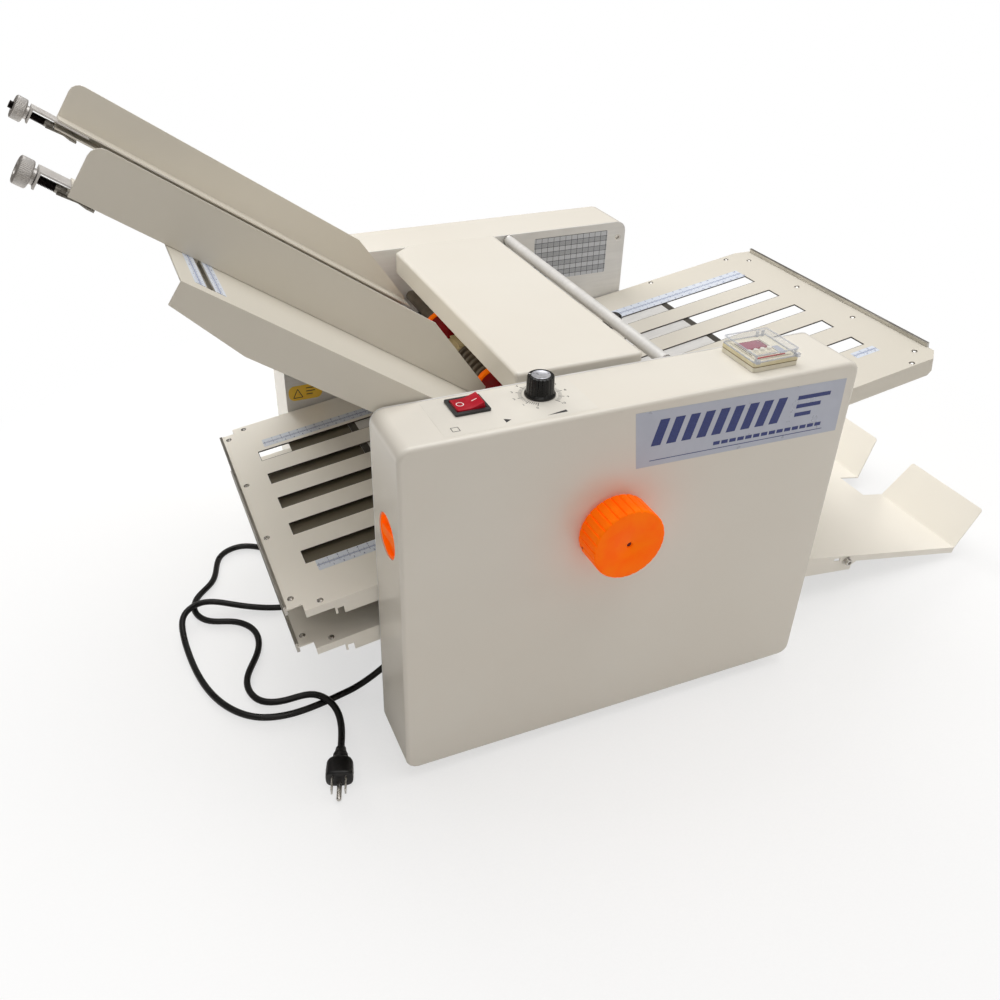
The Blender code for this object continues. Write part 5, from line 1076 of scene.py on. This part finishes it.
def add_counter():
    softened("counter_body", "pale_abs", 0.3)
    counter_piece("counter_upper_band", "straw_abs", (frame_band(COUNTER_FOOT, 0.25, 5.2, 8.4),))
    counter_piece("counter_joint_line", "olive_abs", (frame_band(COUNTER_FOOT, 0.12, 4.3, 5.2),))
    top = 9.7
    counter_piece("counter_display_rim", "smoked_red",
                  (slab(23.5, 15.0, 0.8, top, top + 0.9, 0.3, 4), -4, 6))
    counter_piece("counter_display", "display_red",
                  (slab(21.0, 12.8, 0.6, top + 0.85, top + 1.0, 0.1, 4), -4, 6))
    tooth = slab(1.2, 5.0, 0.3, top + 1.3, top + 2.3, 0.2, 2)
    counter_piece("counter_comb", "pale_abs",
                  (slab(21.5, 5.0, 0.6, top, top + 1.4, 0.3, 3), -5.2, -12.5),
                  *[(tooth, -5.2 + (index - 4) * 2.4, -12.5) for index in range(9)])
    counter_piece("counter_slots", "grey_abs",
                  (slab(1.0, 26.0, 0.4, top - 0.05, top + 0.06, 0, 3), -17.2, 2),
                  (slab(0.6, 33.0, 0.2, top - 0.05, top + 0.06, 0, 2), 10, 0))
    counter_piece("counter_tag", "silver_foil",
                  (slab(6.2, 15.0, 0.6, top, top + 0.10, 0, 3), 14.2, -8.5))
    counter_piece("counter_red_strip", "red_abs",
                  (slab(30.0, 1.6, 0.3, top - 0.02, top + 0.5, 0.1, 2), -2.0, -17.8))
    cap = turned([(-2.3, 2.2), (1.8, 2.2), (2.2, 2.0), (2.4, 1.5), (2.4, 0)], 32)
    for index in range(4):
        button = SHIFT @ at(118.5 + 7.2 * index, -211.5, 373.0)
        stand_in(f"counter_button_{index + 1}", put(cap, button), "white_nylon")
    add_counter_lid()


def add_counter_lid():
    """A clear cover 1.2 mm thick: the inner walls go down from their flat roof, the outer
    walls come back up, and both roofs meet the walls in round corners."""
    low, high, wall, corner, inner = 8.8, 16.0, 1.2, 1.8, 0.8
    levels = [(wall + inwards, high - wall - inner + up)
              for inwards, up in reversed(quarter(inner, 4))]
    levels += [(wall, low + 0.2), (wall - 0.2, low), (0.2, low), (0.0, low + 0.2)]
    levels += [(inwards, high - corner + up) for inwards, up in quarter(corner, 5)]
    rings = [level(drawn_in(COUNTER_FOOT, inwards) if inwards else COUNTER_FOOT, height)
             for inwards, height in levels]
    stand_in("counter_lid", put(loft(rings), COUNTER), "clear_acrylic", 60)
    lug = slab(4.4, 3.0, 0.8, low + 0.1, low + 3.4, 0.4, 3)
    corner_post = slab(2.2, 2.2, 0.8, low + 0.3, high - wall - 0.2, 0.1, 3)
    rear_post = slab(3.0, 2.6, 1.0, low + 0.4, low + 5.9, 0.9, 4)
    counter_piece("counter_lid_lugs", "clear_edge",
                  (lug, -21.2, -25.2), (corner_post, -20.8, -21.3),
                  (lug, 21.2, -25.2), (corner_post, 20.8, -21.3),
                  (rear_post, 12.5, 22.0), (rear_post, 18.5, 22.0), node="counter_lid")
    # painted highlight: a paler band along the lid's rounded top edge
    crown = frame_band(drawn_in(COUNTER_FOOT, 1.4), 1.1, high - 1.0, high + 0.02)
    counter_piece("counter_lid_edge", "clear_edge", (crown,), node="counter_lid")
    rim = frame_band(drawn_in(COUNTER_FOOT, 0.9), 1.0, low - 0.1, low + 0.8)
    counter_piece("counter_lid_rim", "clear_edge", (rim,), node="counter_lid")


# Labels

FOIL_LOW, FOIL_TOP = 0.01, 0.14  # of a label, above what it is stuck to


def add_labels():
    """Plain labels: stripes and bars in front, a ruled table and a yellow capsule behind."""
    front = SHIFT @ at(0, COVER_FACE, 0) @ TOWARDS_FRONT
    corners = ((-6.6, 299.9), (207.1, 294.0), (205.8, 348.1), (-13.3, 354.6))
    piece("front_label", put(block(corners, FOIL_LOW, FOIL_TOP, 0), front), "silver_foil", "frame")
    marks = []
    for index in range(9):
        left = -93 + index * 15.2
        marks.append(printed([(left, -7), (left + 9.5, -7), (left + 15.5, 18), (left + 6, 18)]))
    for row in range(3):
        y = 15.0 - row * 8.5
        marks.append(bar((56, y), (92 - row * 9, y), 4.0))
    for index in range(14):
        start = -28 + index * 8.5
        marks.append(bar((start, -16), (start + 6.8, -16), 3.6))
    marks.append(bar((-92, -21.5), (92, -21.5), 0.7))
    tilted = front @ at(98.3, 324.0, FOIL_TOP) @ turn(-1.6, "Z")
    piece("front_label_marks", put(joined(*marks), tilted), "navy_ink", "frame")
    plate = SHIFT @ at(0, REAR_PLATE, 0) @ TOWARDS_FRONT
    middle = plate @ at(144.5, 327.5, 0)
    table = slab(99, 53, 1.5, FOIL_LOW, FOIL_TOP, 0, 4)
    piece("rear_plate_table", put(table, middle), "ruled_foil", "frame", uv=middle)
    yellow_place = plate @ at(-196, 203.5, 0)
    capsule = slab(40, 19, 7.5, FOIL_LOW, FOIL_TOP, 0, 6)
    piece("yellow_label", put(capsule, yellow_place), "yellow_film", "frame")
    lines = outlined([(-14.5, -6), (-3.5, -6), (-9.0, 5), (-14.5, -6)], 0.9)
    lines += [bar((1, 5 - 4 * row), (14.5 - 3 * row, 5 - 4 * row), 1.1) for row in range(3)]
    marked = put(joined(*lines), yellow_place @ at(0, 0, FOIL_TOP))
    piece("yellow_label_marks", marked, "black_ink", "frame")


# Printed rules on the trays and the table

RULE_TOP = 0.11


def rule(name, place, start, end, width, node, step=10, rows=(1, -1), size=3.6, turned_by=0):
    """One foil rule along its frame's X axis, with a number at every step millimetres."""
    strip = slab(end - start, width, 0.4, FOIL_LOW, RULE_TOP, 0, 2)
    middle = at((start + end) / 2, 0, 0)
    piece(name, put(strip, place @ middle), "scale_foil", node, uv=place)
    figures = []
    first = math.ceil(start / step + 0.3)
    for index in range(int((end - start) / step + 0.3)):
        along = (first + index) * step
        if along > end - 2:
            break
        for row in rows:
            shift = 0.0 if row > 0 else 0.35 * step
            spot = at(along + shift, row * (width / 2 - 2.1), RULE_TOP) @ turn(turned_by, "Z")
            figures.append(put(letters(str(1 + index), size), place @ spot))
    piece(name + "_figures", joined(*figures), "navy_ink", node)


def add_rules():
    """Rules along the trays' sides, and two across the table, on both sides of its rail."""
    for node, place in LEFT_TRAYS:
        rule(node + "_front_rule", place @ at(0, -117, 0), -41.5, 140, 16, node)
        rule(node + "_rear_rule", place @ at(0, 122, 0), -41.5, 140, 16, node)
    rule("right_tray_rear_rule", RIGHT @ at(0, 118, 0), -119, 64.4, 20, "right_tray")
    rule("right_tray_front_rule", RIGHT @ at(0, -122, 0), 39, 68.4, 12, "right_tray")
    for name, x, step, row in (("outer", -137.1, 20, 1), ("inner", -121.3, 10, -1)):
        place = TABLE @ at(x, 0, 0) @ turn(90, "Z")
        rule(f"table_{name}_rule", place, -160, 160, 9, "feed_table", step, (row,), 2.6, -90)


# Motor

def add_motor_details():
    """Five bright bands round the motor, inside the machine."""
    front, rear = span("motor")
    band = turned([(-0.6, 31.9), (-0.6, 32.5), (0.6, 32.5), (0.6, 31.9)], closed=True)
    bands = []
    for index in range(5):
        y = front + (rear - front) * (0.25 + 0.12 * index)
        bands.append(put(band, SHIFT @ at(-3.03, y, 184.09) @ TOWARDS_REAR))
    piece("motor_bands", joined(*bands), "zinc_plate", "frame")


# Light and floor

def light(name, place, aim, size, depth, power, tint, mirrored=True):
    """An area lamp, in metres and watts; one that isn't mirrored makes no reflection."""
    lamp = bpy.data.lights.new(name, "AREA")
    lamp.shape = "RECTANGLE"
    lamp.size = size
    lamp.size_y = depth
    lamp.energy = power
    lamp.color = colour(tint)[:3]
    holder = show(name, lamp)
    facing = (Vector(aim) - Vector(place)).to_track_quat("-Z", "Y").to_matrix().to_4x4()
    holder.matrix_world = Matrix.Translation(place) @ facing
    holder.visible_glossy = mirrored


def add_world():
    """Soft grey light from all round, and the white of the photograph for the camera."""
    world = bpy.data.worlds.new("studio")
    world.use_nodes = True
    tree = world.node_tree
    soft = tree.nodes["Background"]
    fill(tree, soft, {"Color": colour("FFF6EC"), "Strength": 0.2})
    seen = add(tree, "Background", {"Color": colour("FFFFFF"), "Strength": 1.0})
    path = add(tree, "LightPath", {}).outputs["Is Camera Ray"]
    mix = add(tree, "MixShader", {0: path, 1: soft.outputs[0], 2: seen.outputs[0]})
    fill(tree, tree.nodes["World Output"], {"Surface": mix.outputs[0]})
    bpy.context.scene.world = world


def paper(tree, place):
    """Matt white background paper with a faint fibre, which the camera sees fade into the
    white of the photograph away from the machine."""
    white = add(tree, "Emission", {"Color": colour("FFFFFF"), "Strength": 1.0})
    away = add(tree, "VectorMath", {0: place}, operation="LENGTH").outputs["Value"]
    seen = add(tree, "LightPath", {}).outputs["Is Camera Ray"]
    share = number(tree, "MULTIPLY", spread(tree, away, 0.35, 0.9, 0.6, 1.0), seen)
    shader = tree.nodes["Principled BSDF"]
    mix = add(tree, "MixShader", {0: share, 1: shader.outputs[0], 2: white.outputs[0]})
    fill(tree, tree.nodes["Material Output"], {"Surface": mix.outputs[0]})
    tone = two_tones(tree, noise(tree, place, 400.0, 3.0), 0.3, 0.7, "F6F6F6", "FAFAFA")
    return {"Base Color": tone, "Roughness": 0.9, "Specular IOR Level": 0.1}


def add_floor(reach=6, cells=12):
    """A flat floor of square cells, a hair under the feet."""
    mesh = bpy.data.meshes.new("floor")
    ticks = np.linspace(-reach, reach, cells + 1)
    x, y = np.meshgrid(ticks, ticks)
    points = np.column_stack([x.ravel(), y.ravel(), np.full(x.size, -0.2 * MM)])
    first = (np.arange(cells)[:, None] * (cells + 1) + np.arange(cells)[None, :])[..., None]
    quads = first + np.array([0, 1, cells + 2, cells + 1])
    mesh.from_pydata(points.tolist(), [], quads.reshape(-1, 4).tolist())
    mesh.materials.append(new_material("floor_paper", paper))
    show("floor", mesh)


def add_studio():
    add_floor()
    middle = (0.0, 0.0, 0.2)
    light("key", (0.15, 0.10, 2.1), middle, 2.2, 1.8, 32, "FFFFFF")
    light("front_fill", (0.9, -2.4, 1.0), middle, 1.4, 1.2, 2, "FFF3E4")
    light("left_fill", (-0.75, -1.3, 1.5), (-0.35, 0.0, 0.2), 1.2, 1.0, 3, "FFFDF8")
    light("rear_fill", (-0.3, 1.8, 0.85), (-0.2, 0.0, 0.2), 1.2, 0.9, 28, "FFFDF8", False)
    light("right_fill", (1.7, -0.6, 0.9), (0.4, 0.0, 0.1), 1.0, 0.8, 5, "FFFDF8", False)
    add_world()
    bpy.context.scene.view_settings.view_transform = "Standard"


add_camera()
add_cord()
add_sheet_metal()
add_slot_edges()
add_second_sheets()
add_screws()
add_exit_screw()
add_hand_wheel()
add_side_knob()
add_feed_rollers()
add_fold_rollers()
add_clamps()
add_rocker()
add_speed_knob()
add_dial_marks()
add_counter()
add_labels()
add_rules()
add_motor_details()
add_studio()
